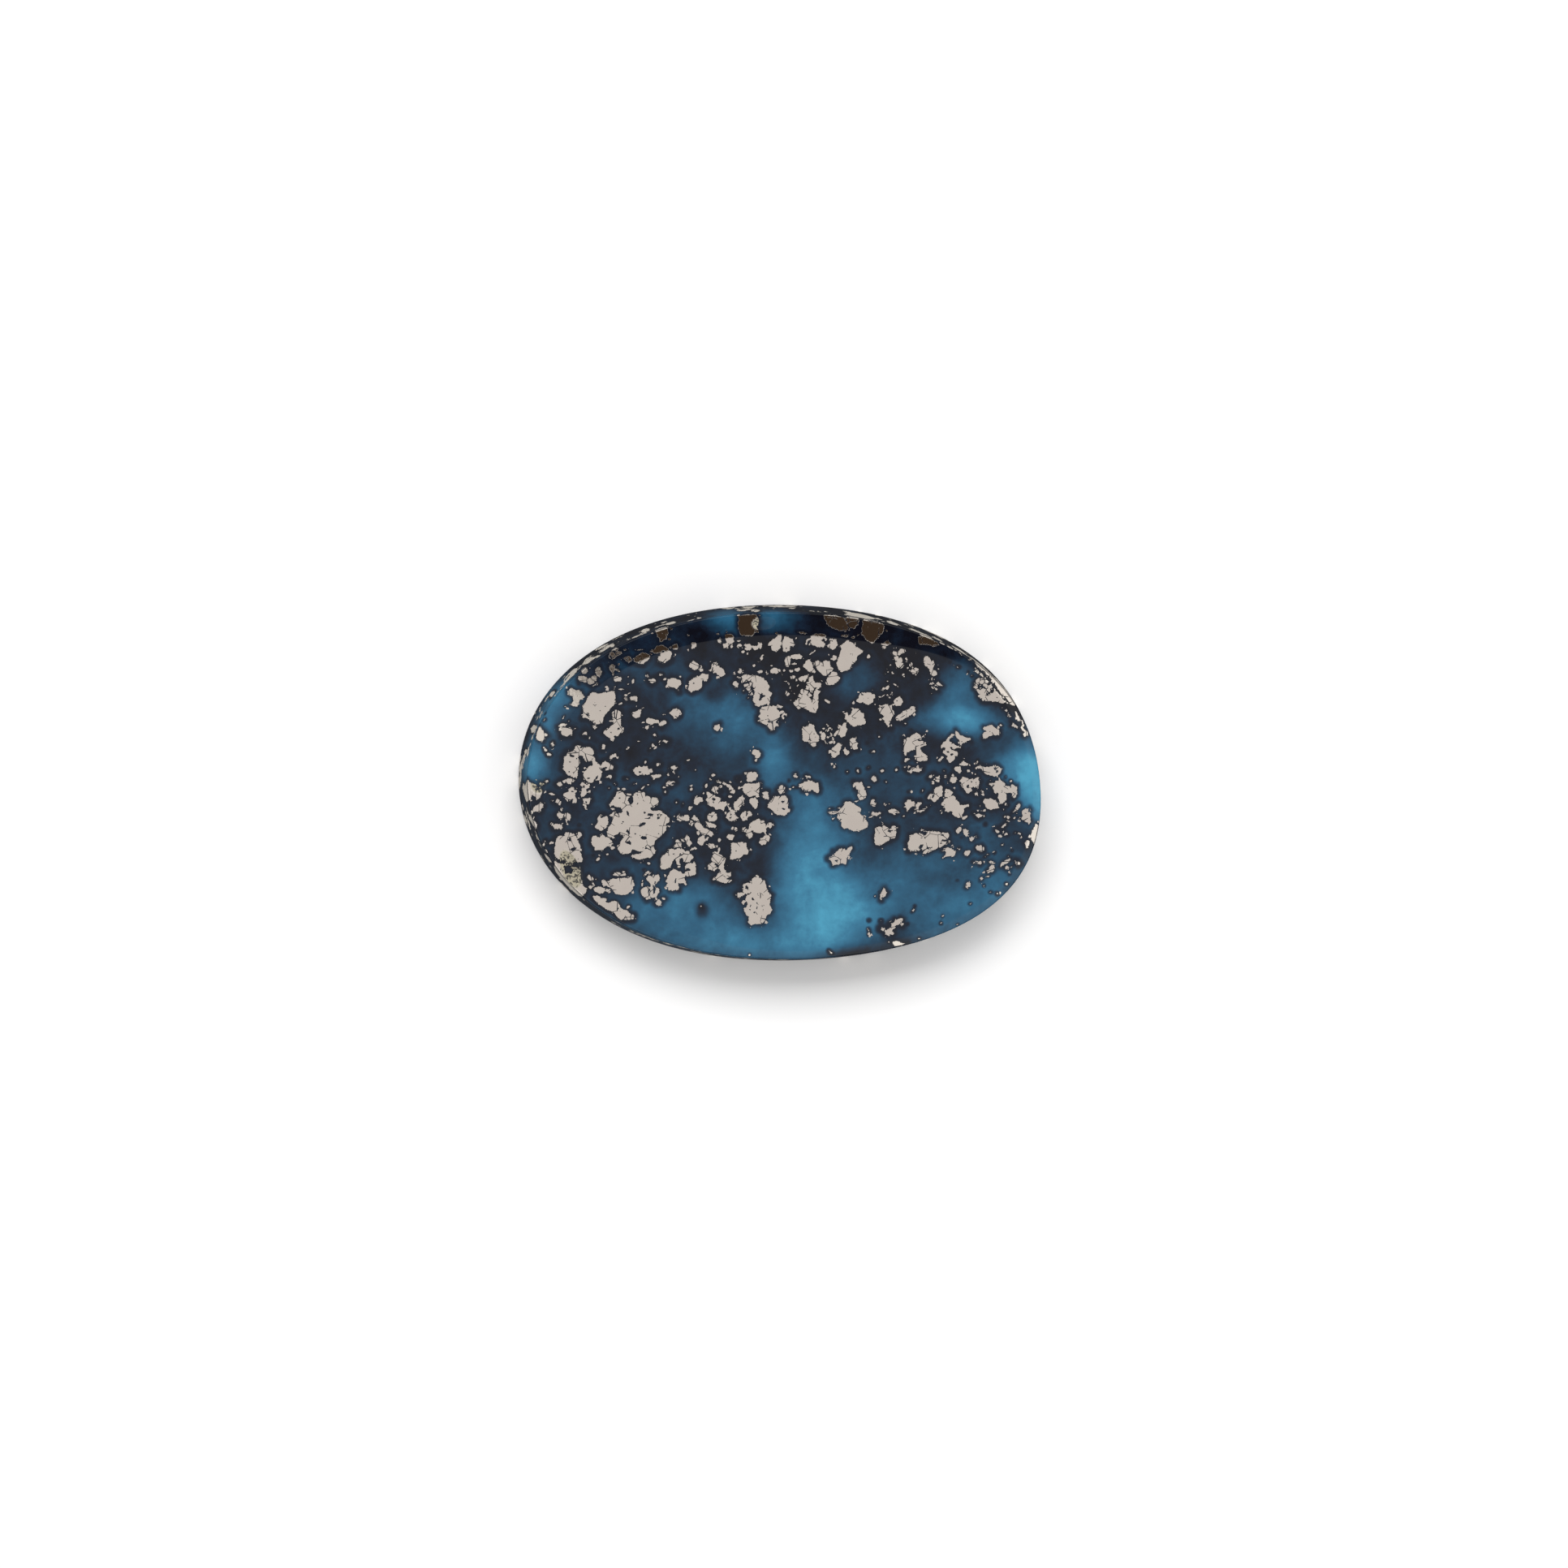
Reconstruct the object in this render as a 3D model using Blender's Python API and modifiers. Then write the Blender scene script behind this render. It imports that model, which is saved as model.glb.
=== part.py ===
"""A flat-topped oval ring stone, cut from one piece of Persian turquoise with pyrite in a black matrix.

The stone lies on its flat back. +Z is the way its polished face looks, +X runs along its length, and the
origin is the middle of the back's box.
"""

import math

import bpy
from mathutils import Vector

MM = 0.001

# The oval of the back, in millimetres. The waves are what the cutter's hand left: (waves round the oval, share
# of the radius, where the first crest lies in degrees). They pull the oval's middle off the middle of its box.
HALF_LENGTH = 15.25
HALF_WIDTH = 10.40
WAVES = ((3, 0.0060, -46.0), (4, 0.0178, -40.0), (5, 0.0036, -32.0))
OVAL_MIDDLE = Vector((0.108, -0.028))

# The section from the back up to the face, in millimetres. The bevel has one slope all round, but it is wide
# along the top and left of the stone and narrow round its right end: (where it widens, where it narrows again).
FACE_EDGE_HEIGHT = 4.05
FACE_RISE = 0.30
FACE_POWER = 4
WALL_LEAN = 0.36
BEVEL_SLOPE = math.tan(math.radians(27))
WIDE_BEVEL = 1.20
NARROW_BEVEL = 0.38
WIDENS = (42.0, 78.0)
NARROWS = (215.0, 275.0)
CORNER_WIDTH = 0.12
CORNER_ANGLE = math.radians(11)

# How finely the stone is divided.
STEPS_ROUND = 144
STEPS_ACROSS_FACE = 13
STEPS_ACROSS_BEVEL = 4
CORNER_STEPS = 2

# Hollows where pyrite broke out of the bevel while it was ground: (degrees round the oval, half length along the
# rim, half width across it, depth), in millimetres.
HOLLOWS = (
    (213.0, 1.25, 0.55, 0.16),
    (182.0, 0.55, 0.45, 0.12),
    (96.5, 0.75, 0.40, 0.08),
)
MOST_TURN = 60.0

TURQUOISE = (0.016, 0.095, 0.165, 1.0)
TURQUOISE_ROUGHNESS = 0.08


def clear_scene():
    for thing in list(bpy.data.objects):
        bpy.data.objects.remove(thing, do_unlink=True)


def eased(start, end, value):
    """0 below start, 1 above end, and a smooth rise between them."""
    share = min(1.0, max(0.0, (value - start) / (end - start)))
    return share * share * (3 - 2 * share)


def bevel_width(angle):
    """The width of the bevel at this angle round the oval, in millimetres."""
    degrees = math.degrees(angle) % 360
    share = eased(*WIDENS, degrees) * (1 - eased(*NARROWS, degrees))
    return NARROW_BEVEL + (WIDE_BEVEL - NARROW_BEVEL) * share


def section():
    """The widest section as (radius, height) in millimetres, from the top of the axis down its outer side."""
    face_radius = HALF_WIDTH - WALL_LEAN - WIDE_BEVEL
    points = []
    for step in range(STEPS_ACROSS_FACE + 1):
        share = step / STEPS_ACROSS_FACE
        height = FACE_EDGE_HEIGHT + FACE_RISE * (1 - share**FACE_POWER)
        points.append((face_radius * share, height))
    for step in range(1, STEPS_ACROSS_BEVEL + 1):
        out = WIDE_BEVEL * step / STEPS_ACROSS_BEVEL
        points.append((face_radius + out, FACE_EDGE_HEIGHT - out * BEVEL_SLOPE))
    points.append((HALF_WIDTH, 0.0))
    points.append((0.0, 0.0))
    return points


def turned_blank(collection):
    """The section turned about Z, with its corners eased: a round blank, still in millimetres."""
    points = [(radius, 0.0, height) for radius, height in section()]
    edges = [(i, i + 1) for i in range(len(points) - 1)]
    profile = bpy.data.meshes.new("section")
    profile.from_pydata(points, edges, [])
    blank = bpy.data.objects.new("blank", profile)
    collection.objects.link(blank)

    turn = blank.modifiers.new("turn", "SCREW")
    turn.angle = math.tau
    turn.steps = STEPS_ROUND
    turn.render_steps = STEPS_ROUND
    turn.use_merge_vertices = True
    turn.merge_threshold = 0.0001

    ease = blank.modifiers.new("ease", "BEVEL")
    ease.width = CORNER_WIDTH
    ease.segments = CORNER_STEPS
    ease.limit_method = "ANGLE"
    ease.angle_limit = CORNER_ANGLE
    return blank


def oval(angle):
    """The point of the back's outline at this angle round it, in millimetres."""
    size = 1.0
    for count, share, crest in WAVES:
        size += share * math.cos(count * (angle - math.radians(crest)))
    return Vector((HALF_LENGTH * math.cos(angle), HALF_WIDTH * math.sin(angle))) * size


def inside_oval(angle, inset):
    """The point that lies inset millimetres inside the outline, square to it."""
    step = 0.001
    along = (oval(angle + step) - oval(angle - step)).normalized()
    return oval(angle) + Vector((-along.y, along.x)) * inset


def pressed(point):
    """Where a point of the round blank goes on the oval stone."""
    radius = math.hypot(point.x, point.y)
    angle = math.atan2(point.y, point.x)
    share = bevel_width(angle) / WIDE_BEVEL
    wall_radius = HALF_WIDTH - WALL_LEAN
    wall_height = FACE_EDGE_HEIGHT - WIDE_BEVEL * BEVEL_SLOPE
    face_radius = wall_radius - WIDE_BEVEL

    if radius > wall_radius:
        place = inside_oval(angle, HALF_WIDTH - radius)
        taller = (FACE_EDGE_HEIGHT - share * WIDE_BEVEL * BEVEL_SLOPE) / wall_height
        height = point.z * taller
    elif radius > face_radius:
        place = inside_oval(angle, WALL_LEAN + share * (wall_radius - radius))
        height = FACE_EDGE_HEIGHT + share * (point.z - FACE_EDGE_HEIGHT)
    else:
        place = inside_oval(angle, WALL_LEAN + share * WIDE_BEVEL) * (radius / face_radius)
        height = point.z

    if point.z < CORNER_WIDTH * 2:
        height = point.z
    return Vector((place.x, place.y, height))


def hollow_depth(point):
    """How deep the broken hollows go at this point of the oval stone, in millimetres."""
    angle = math.degrees(math.atan2(point.y / HALF_WIDTH, point.x / HALF_LENGTH)) % 360
    depth = 0.0
    for centre, half_along, half_across, deepest in HOLLOWS:
        turn = (angle - centre + 180) % 360 - 180
        if abs(turn) > MOST_TURN or point.z < FACE_EDGE_HEIGHT / 2:
            continue
        round_angle = math.radians(centre)
        middle = inside_oval(round_angle, WALL_LEAN + bevel_width(round_angle) / 2)
        outward = oval(round_angle).normalized()
        away = Vector((point.x, point.y)) - middle
        across = away.dot(outward) / half_across
        along = away.dot(Vector((-outward.y, outward.x))) / half_along
        depth += deepest * max(0.0, 1 - along**2 - across**2)
    return depth


def stone_material():
    material = bpy.data.materials.new("turquoise")
    material.use_nodes = True
    shader = material.node_tree.nodes["Principled BSDF"]
    shader.inputs["Base Color"].default_value = TURQUOISE
    shader.inputs["Roughness"].default_value = TURQUOISE_ROUGHNESS
    shader.inputs["Metallic"].default_value = 0.0
    return material


def make_stone(collection):
    """Turns the round blank, presses it to the oval and sinks the hollows: one closed piece."""
    blank = turned_blank(collection)
    graph = bpy.context.evaluated_depsgraph_get()
    mesh = bpy.data.meshes.new_from_object(blank.evaluated_get(graph))
    mesh.name = "turquoise_stone"
    bpy.data.objects.remove(blank, do_unlink=True)

    for vertex in mesh.vertices:
        vertex.co = pressed(vertex.co)
    mesh.update()
    inward = [-hollow_depth(vertex.co) * vertex.normal for vertex in mesh.vertices]
    for vertex, move in zip(mesh.vertices, inward):
        vertex.co = (vertex.co + move + OVAL_MIDDLE.to_3d()) * MM
    mesh.update()

    mesh.materials.append(stone_material())
    stone = bpy.data.objects.new("turquoise_stone", mesh)
    collection.objects.link(stone)
    mesh.shade_smooth()
    mesh.set_sharp_from_angle(angle=CORNER_ANGLE)
    return stone


def main():
    clear_scene()
    collection = bpy.data.collections.new("persian_turquoise")
    bpy.context.scene.collection.children.link(collection)
    make_stone(collection)


main()
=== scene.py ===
import math

import bpy
import numpy as np
from mathutils import Matrix, Vector


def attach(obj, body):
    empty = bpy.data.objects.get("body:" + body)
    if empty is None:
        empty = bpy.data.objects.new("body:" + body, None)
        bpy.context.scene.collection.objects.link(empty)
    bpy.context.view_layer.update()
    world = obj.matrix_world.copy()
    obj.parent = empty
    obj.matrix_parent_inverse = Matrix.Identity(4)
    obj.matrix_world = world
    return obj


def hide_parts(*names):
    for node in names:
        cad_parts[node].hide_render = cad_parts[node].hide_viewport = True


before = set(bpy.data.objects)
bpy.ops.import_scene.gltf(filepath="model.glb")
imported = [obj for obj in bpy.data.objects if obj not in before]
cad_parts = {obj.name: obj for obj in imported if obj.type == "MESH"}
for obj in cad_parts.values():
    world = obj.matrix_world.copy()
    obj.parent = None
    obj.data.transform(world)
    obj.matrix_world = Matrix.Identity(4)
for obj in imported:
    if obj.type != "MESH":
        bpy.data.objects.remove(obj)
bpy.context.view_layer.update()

# The stone as it was cut: one oval piece of turquoise rock, ground flat behind, with a leaning wall, a bevel
# that is wide along the top and left and narrow round the right end, and a slightly domed face polished like
# a mirror. The sizes are the solid's own, in millimetres, and the mesh can carry the outlines of the pyrite.
MM = 0.001
HALF_LENGTH = 15.25
HALF_WIDTH = 10.40
WAVES = ((3, 0.0060, -46.0), (4, 0.0178, -40.0), (5, 0.0036, -32.0))
OVAL_MIDDLE = np.array((0.108, -0.028))
FACE_EDGE_HEIGHT = 4.05
FACE_RISE = 0.30
FACE_POWER = 4
WALL_LEAN = 0.36
BEVEL_SLOPE = math.tan(math.radians(27))
WIDE_BEVEL = 1.20
NARROW_BEVEL = 0.38
FACE_REACH = HALF_WIDTH - WALL_LEAN - WIDE_BEVEL
WIDENS = (42.0, 78.0)
NARROWS = (215.0, 275.0)
CORNER = 0.12
STEPS_ALONG = 288
STEPS_ACROSS = 192
BEVEL_STEPS = 9
WALL_STEPS = 20
CORNER_STEPS = 3
BACK_RINGS = (0.995, 0.97, 0.6)
NUDGE = 0.001
WALL_BLEND = 0.3


def eased(start, end, value):
    """0 below start, 1 above end, and a smooth rise between them."""
    share = np.clip((value - start) / (end - start), 0.0, 1.0)
    return share * share * (3 - 2 * share)


def bevel_width(angles):
    degrees = np.degrees(angles) % 360
    share = eased(*WIDENS, degrees) * (1 - eased(*NARROWS, degrees))
    return NARROW_BEVEL + (WIDE_BEVEL - NARROW_BEVEL) * share


def oval(angles):
    """Places on the outline of the back, round the oval's own middle."""
    size = 1.0 + sum(share * np.cos(count * (angles - math.radians(crest))) for count, share, crest in WAVES)
    return np.stack((HALF_LENGTH * np.cos(angles), HALF_WIDTH * np.sin(angles)), -1) * size[..., None]


def inside_oval(angles, inset):
    """Places that lie inset millimetres inside the outline, square to it."""
    along = oval(angles + NUDGE) - oval(angles - NUDGE)
    along /= np.linalg.norm(along, axis=-1, keepdims=True)
    inward = np.stack((-along[..., 1], along[..., 0]), -1)
    return oval(angles) + inward * inset[..., None] + OVAL_MIDDLE


def face_grid():
    """The face as a square grid pressed into a disc: (places, heights, rim angles, rim points, numbers)."""
    u, v = np.meshgrid(np.linspace(-1, 1, STEPS_ALONG + 1), np.linspace(-1, 1, STEPS_ACROSS + 1))
    wide = np.abs(u) >= np.abs(v)
    reach = np.maximum(np.abs(u), np.abs(v))
    slant_u = np.where(wide, v / np.where(u == 0, 1, u), 0)
    slant_v = np.where(wide, 0, u / np.where(v == 0, 1, v))
    angles = np.where(wide, np.where(u < 0, math.pi, 0) + slant_u * math.pi / 4, 0)
    angles = np.where(wide, angles, np.where(v < 0, -math.pi / 2, math.pi / 2) - slant_v * math.pi / 4)
    inset = WALL_LEAN + bevel_width(angles) + CORNER
    middle = OVAL_MIDDLE
    places = middle + (inside_oval(angles, inset) - middle) * reach[..., None]
    heights = face_height(reach * (1 - CORNER / FACE_REACH))
    number = np.arange(u.size).reshape(u.shape)
    rim = np.concatenate((number[:-1, -1], number[-1, :0:-1], number[:0:-1, 0], number[0, :-1]))
    return places.reshape(-1, 2), heights.ravel(), angles.ravel()[rim], rim, number


def face_height(reach):
    """The height of the face at this share of the way from its middle to its edge."""
    return FACE_EDGE_HEIGHT + FACE_RISE * (1 - reach**FACE_POWER)


def eased_corner(before, corner, after):
    """Places (inset, height, depth) round a corner, from just after before up to and with after."""
    for step in range(1, CORNER_STEPS + 1):
        t = step / CORNER_STEPS
        yield [(1 - t) ** 2 * a + 2 * t * (1 - t) * b + t * t * c for a, b, c in zip(before, corner, after)]


def straight(start, end, steps):
    """Places between start and end, without the ends."""
    for step in range(1, steps):
        t = step / steps
        yield [a + (b - a) * t for a, b in zip(start, end)]


def outer_rings(angles):
    """The rings outside the face as (inset, height, depth down the wall), from its edge to the back."""
    zero = np.zeros_like(angles)
    width = bevel_width(angles)
    wall_top = FACE_EDGE_HEIGHT - width * BEVEL_SLOPE
    face_inset = WALL_LEAN + width
    lean = WALL_LEAN / wall_top
    on_face = (face_inset + CORNER, zero + face_height(1 - CORNER / FACE_REACH), zero)
    face_edge = (face_inset, zero + FACE_EDGE_HEIGHT, zero)
    bevel_top = (face_inset - CORNER, zero + FACE_EDGE_HEIGHT - CORNER * BEVEL_SLOPE, zero)
    bevel_foot = (zero + WALL_LEAN + CORNER, wall_top + CORNER * BEVEL_SLOPE, zero)
    wall_edge = (zero + WALL_LEAN, wall_top, zero)
    wall_start = (WALL_LEAN - lean * CORNER, wall_top - CORNER, zero + CORNER)
    wall_end = (lean * CORNER, zero + CORNER, wall_top - CORNER)
    foot = (zero, zero, wall_top)
    on_back = (zero + CORNER, zero, wall_top + CORNER)
    yield from eased_corner(on_face, face_edge, bevel_top)
    yield from straight(bevel_top, bevel_foot, BEVEL_STEPS)
    yield bevel_foot
    yield from eased_corner(bevel_foot, wall_edge, wall_start)
    yield from straight(wall_start, wall_end, WALL_STEPS)
    yield wall_end
    yield from eased_corner(wall_end, foot, on_back)


# the points of the mesh, and where each would lie if the wall were folded out flat
places, heights, rim_angles, rim, number = face_grid()
points = [np.column_stack((places, heights))]
unrolled = [places]
on_back = [np.zeros(len(places))]
faces = [np.stack((number[:-1, :-1], number[:-1, 1:], number[1:, 1:], number[1:, :-1]), -1).reshape(-1, 4)]
rings = []
for inset, height, depth in outer_rings(rim_angles):
    place = inside_oval(rim_angles, inset)
    folded_out = np.where(depth[:, None] > 0, inside_oval(rim_angles, WALL_LEAN - depth), place)
    rings.append((place, height, folded_out))
back_edge = inside_oval(rim_angles, np.full(len(rim), CORNER))
for share in BACK_RINGS:
    place = OVAL_MIDDLE + (back_edge - OVAL_MIDDLE) * share
    rings.append((place, np.zeros(len(rim)), place))

# each ring is joined to the one before it, and the last one to the middle of the back
ring = rim
count = len(places)
for place, height, folded_out in rings:
    points.append(np.column_stack((place, height)))
    unrolled.append(folded_out)
    on_back.append(np.where(height < CORNER * 0.5, 1.0, 0.0))
    outer = count + np.arange(len(rim))
    faces.append(np.stack((ring, outer, np.roll(outer, -1), np.roll(ring, -1)), -1))
    ring = outer
    count += len(rim)
points.append(np.array([(*OVAL_MIDDLE, 0.0)]))
unrolled.append(OVAL_MIDDLE[None])
on_back.append(np.ones(1))
fan = [(ring[i], count, ring[(i + 1) % len(ring)]) for i in range(len(ring))]
points = np.concatenate(points)
unrolled = np.concatenate(unrolled)
on_back = np.concatenate(on_back)
on_wall = np.clip(np.linalg.norm(unrolled - points[:, :2], axis=1) / WALL_BLEND, 0.0, 1.0)

# Hollows with rough floors, where pyrite broke out of the bevel while it was ground: (degrees round the
# oval, half length along the rim, half width across it, depth). Grit is the roughness as a share of depth.
HOLLOWS = ((213.0, 1.25, 0.55, 0.16), (182.0, 0.55, 0.45, 0.12), (96.5, 0.75, 0.40, 0.08))
GRIT = 0.3
broken = np.zeros(len(points))
grit = np.sin(23 * points[:, 0] + 2 * np.sin(17 * points[:, 1]))
grit *= np.sin(19 * points[:, 1] + np.sin(29 * points[:, 0]))
for degrees, half_along, half_across, deepest in HOLLOWS:
    turn = np.array(math.radians(degrees))
    outward = oval(turn) / np.linalg.norm(oval(turn))
    away = points[:, :2] - inside_oval(turn, WALL_LEAN + bevel_width(turn) / 2)
    across = (away @ outward) / half_across
    along = (away @ (-outward[1], outward[0])) / half_along
    share = np.maximum(0.0, 1 - along**2 - across**2) * (points[:, 2] > FACE_EDGE_HEIGHT / 2)
    inward = -np.array((*outward * BEVEL_SLOPE, 1.0)) / math.hypot(BEVEL_SLOPE, 1.0)
    points += (share * deepest * (1 + GRIT * grit))[:, None] * inward
    broken = np.maximum(broken, share)

# The pyrite: fool's gold that grew through the rock in broken grains. Polished, it lies level with the face,
# so it is only a finish. Each grain is an outline of (x, y) places in millimetres on the face, and each chip
# is (x, y, length, width, turn in degrees).
GRAINS = (
    # the upper left, from the wall in to the face
    ((-11.38, 4.74), (-11.15, 4.99), (-10.93, 4.9), (-10.25, 5.02), (-9.94, 5.17), (-9.87, 4.94),
     (-9.87, 4.36), (-10.26, 3.91), (-10.47, 3.64), (-10.53, 3.27), (-10.82, 3.17), (-11.19, 3.37),
     (-11.41, 3.53), (-11.7, 3.48), (-11.62, 3.77), (-11.68, 4.2), (-11.54, 4.4)),
    ((-12.55, 4.95), (-12.36, 5.2), (-12.1, 5.08), (-11.78, 5.02), (-11.6, 4.7), (-11.82, 4.57),
     (-11.99, 4.14), (-12.36, 4.18), (-12.22, 4.45), (-12.28, 4.71), (-12.54, 4.78)),
    ((-11.98, 5.83), (-11.55, 5.87), (-11.4, 5.68), (-11.12, 5.9), (-10.95, 5.88), (-10.93, 5.6),
     (-10.83, 5.42), (-11.17, 5.3), (-11.45, 5.5), (-11.88, 5.58), (-11.95, 5.4)),
    ((-11.85, 6.25), (-11.6, 6.42), (-11.45, 6.3), (-11.48, 6.05), (-11.72, 5.98)),
    ((-11.02, 6.3), (-10.78, 6.42), (-10.7, 6.22), (-10.62, 6.08), (-10.78, 5.85), (-11.0, 6.05)),
    ((-10.25, 6.45), (-10.05, 6.6), (-9.92, 6.5), (-9.95, 6.25), (-10.03, 6.05), (-10.18, 6.25)),
    ((-10.28, 7.1), (-10.1, 7.3), (-9.9, 7.2), (-9.6, 7.38), (-9.55, 7.22), (-9.84, 7.02), (-10.06, 6.82),
     (-10.25, 6.92)),
    ((-10.15, 7.42), (-9.95, 7.6), (-9.75, 7.5), (-9.85, 7.35)),
    ((-9.45, 6.95), (-9.15, 7.08), (-9.02, 6.95), (-9.0, 6.78), (-9.15, 6.72)),
    ((-8.91, 6.9), (-8.68, 7.13), (-8.35, 7.3), (-8.05, 7.25), (-7.95, 7.08), (-8.02, 6.93), (-8.38, 6.68),
     (-8.8, 6.76)),
    ((-10.0, 5.95), (-9.5, 5.85), (-9.55, 5.65), (-9.8, 5.52), (-9.98, 5.75)),
    ((-9.05, 4.75), (-8.7, 4.85), (-8.58, 4.75), (-8.65, 4.5), (-8.8, 4.6), (-9.02, 4.6)),
    ((-8.9, 3.9), (-8.65, 4.0), (-8.38, 4.08), (-8.4, 3.75), (-8.6, 3.55), (-8.85, 3.7)),
    # the upper middle, left of the short axis
    ((-8.0, 7.4), (-7.72, 7.52), (-7.55, 7.72), (-7.3, 7.78), (-7.0, 7.62), (-6.73, 7.38), (-6.8, 7.05),
     (-7.03, 6.82), (-7.25, 6.72), (-7.48, 6.8), (-7.54, 7.05), (-7.3, 7.18), (-7.4, 7.36), (-7.66, 7.28)),
    ((-6.9, 7.62), (-6.62, 7.78), (-6.52, 7.88), (-6.42, 7.8), (-6.4, 7.55), (-6.6, 7.52)),
    ((-5.65, 7.6), (-5.6, 7.95), (-5.38, 7.98), (-5.35, 7.72), (-5.55, 7.6)),
    ((-7.75, 8.75), (-7.55, 8.98), (-7.25, 9.05), (-6.98, 8.95), (-6.95, 8.6), (-7.05, 8.1), (-7.4, 8.0),
     (-7.55, 8.3)),
    ((-5.72, 6.75), (-5.5, 6.95), (-5.2, 6.8), (-5.18, 6.6), (-5.35, 6.4), (-5.55, 6.5)),
    ((-5.22, 6.5), (-4.98, 6.55), (-4.9, 6.42), (-5.08, 6.33)),
    ((-4.63, 6.41), (-4.47, 6.5), (-4.45, 6.8), (-4.2, 6.92), (-4.08, 6.7), (-3.82, 6.55), (-3.66, 6.25),
     (-3.88, 6.1), (-4.24, 6.28)),
    ((-5.78, 5.33), (-5.68, 5.5), (-5.74, 5.72), (-5.43, 6.0), (-5.1, 6.1), (-4.94, 6.27), (-4.63, 6.18),
     (-4.62, 5.98), (-4.76, 5.78), (-4.98, 5.93), (-4.96, 5.57), (-5.09, 5.33), (-5.35, 5.25),
     (-5.55, 5.15)),
    ((-6.98, 5.61), (-6.88, 5.83), (-6.7, 5.93), (-6.45, 5.9), (-6.2, 5.8), (-6.16, 5.6), (-6.33, 5.42),
     (-6.28, 5.2), (-6.5, 5.38), (-6.84, 5.42)),
    ((-8.0, 5.75), (-7.82, 5.85), (-7.6, 5.92), (-7.62, 5.7), (-7.8, 5.58)),
    ((-4.18, 8.2), (-4.0, 8.32), (-3.92, 8.2), (-3.95, 7.95), (-4.1, 7.98)),
    ((-3.72, 8.3), (-3.65, 8.5), (-3.4, 8.52), (-3.28, 8.4), (-3.25, 8.1), (-3.4, 7.95), (-3.65, 8.05)),
    ((-3.85, 7.92), (-3.6, 7.98), (-3.52, 7.85), (-3.55, 7.72), (-3.78, 7.75)),
    ((-2.95, 9.55), (-2.5, 9.7), (-1.95, 9.65), (-1.8, 9.3), (-1.95, 8.95), (-1.87, 8.8), (-2.28, 8.43),
     (-2.85, 8.48), (-3.0, 8.9)),
    ((-2.65, 7.95), (-2.35, 8.0), (-2.22, 7.85), (-2.3, 7.62), (-2.55, 7.68)),
    ((-2.2, 7.85), (-2.0, 7.95), (-1.8, 7.9), (-1.82, 7.7), (-2.1, 7.65)),
    ((-1.9, 8.1), (-1.62, 8.12), (-1.65, 7.8), (-1.75, 7.72), (-1.8, 7.95)),
    ((-2.95, 6.38), (-2.85, 6.6), (-2.65, 6.55), (-2.62, 6.35), (-2.8, 6.28)),
    ((-3.07, 6.14), (-2.85, 6.12), (-2.56, 6.26), (-2.3, 6.29), (-1.64, 6.17), (-1.37, 5.94), (-1.12, 5.63),
     (-1.22, 5.46), (-1.0, 5.2), (-1.1, 5.0), (-1.08, 4.64), (-1.4, 4.6), (-1.72, 4.48), (-1.92, 4.53),
     (-2.04, 4.81), (-1.98, 5.25), (-2.1, 5.7), (-2.2, 5.2), (-2.46, 5.43), (-2.7, 5.75), (-2.85, 6.0)),
    ((-3.3, 5.75), (-3.05, 5.9), (-2.85, 5.75), (-2.88, 5.6), (-3.05, 5.48)),
    # the upper middle, right of the short axis
    ((-1.35, 7.9), (-1.15, 8.2), (-0.85, 8.4), (-0.77, 8.57), (-0.53, 8.62), (-0.52, 8.3), (-0.57, 7.95),
     (-0.62, 7.75), (-0.8, 7.63), (-1.08, 7.67), (-1.1, 7.95)),
    ((-0.46, 8.25), (-0.34, 8.48), (-0.1, 8.42), (0.08, 8.38), (0.24, 8.08), (0.12, 7.9), (-0.02, 8.02),
     (-0.05, 7.75), (-0.22, 7.6), (-0.45, 7.65)),
    ((1.12, 8.54), (1.48, 8.72), (2.05, 8.65), (2.0, 8.45), (1.66, 8.38), (1.97, 8.13), (1.85, 7.93),
     (1.5, 7.96), (1.16, 8.1)),
    ((2.06, 8.04), (2.25, 8.22), (2.17, 8.43), (2.56, 8.44), (2.67, 8.15), (2.55, 7.9), (2.38, 7.8)),
    ((0.0, 7.45), (0.3, 7.5), (0.55, 7.48), (0.68, 7.42), (0.6, 7.25), (0.2, 7.22), (0.05, 7.3)),
    ((0.74, 6.83), (0.87, 7.15), (1.07, 7.23), (1.23, 7.07), (1.3, 6.8), (1.45, 6.55), (1.33, 6.46),
     (1.0, 6.6)),
    ((1.34, 7.09), (1.58, 7.2), (1.72, 7.08), (2.02, 7.18), (2.27, 7.15), (2.31, 6.88), (2.48, 6.74),
     (2.25, 6.49), (2.0, 6.31), (1.76, 6.48), (1.5, 6.75)),
    ((2.06, 5.9), (2.1, 6.2), (2.33, 6.5), (2.58, 6.6), (2.87, 6.34), (2.79, 6.07), (2.5, 5.85),
     (2.15, 5.82)),
    ((2.66, 7.04), (2.79, 7.57), (2.92, 7.87), (2.82, 8.08), (3.05, 8.25), (3.24, 8.4), (3.54, 8.23),
     (3.79, 8.0), (4.14, 7.84), (4.05, 7.66), (3.8, 7.53), (3.73, 7.17), (3.49, 7.0), (3.42, 6.77),
     (3.2, 6.68), (2.89, 6.57), (2.74, 6.74)),
    ((2.3, 7.3), (2.42, 7.5), (2.62, 7.5), (2.65, 7.3), (2.45, 7.2)),
    ((4.15, 9.6), (4.3, 9.8), (4.8, 9.62), (5.35, 9.4), (5.3, 9.0), (5.15, 8.75), (4.84, 8.45),
     (4.63, 8.22), (4.36, 8.42), (4.03, 8.74)),
    ((1.85, 9.8), (2.6, 9.85), (3.1, 9.6), (3.3, 9.2), (3.35, 8.95), (3.1, 8.88), (2.5, 9.0), (2.1, 9.2)),
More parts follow.
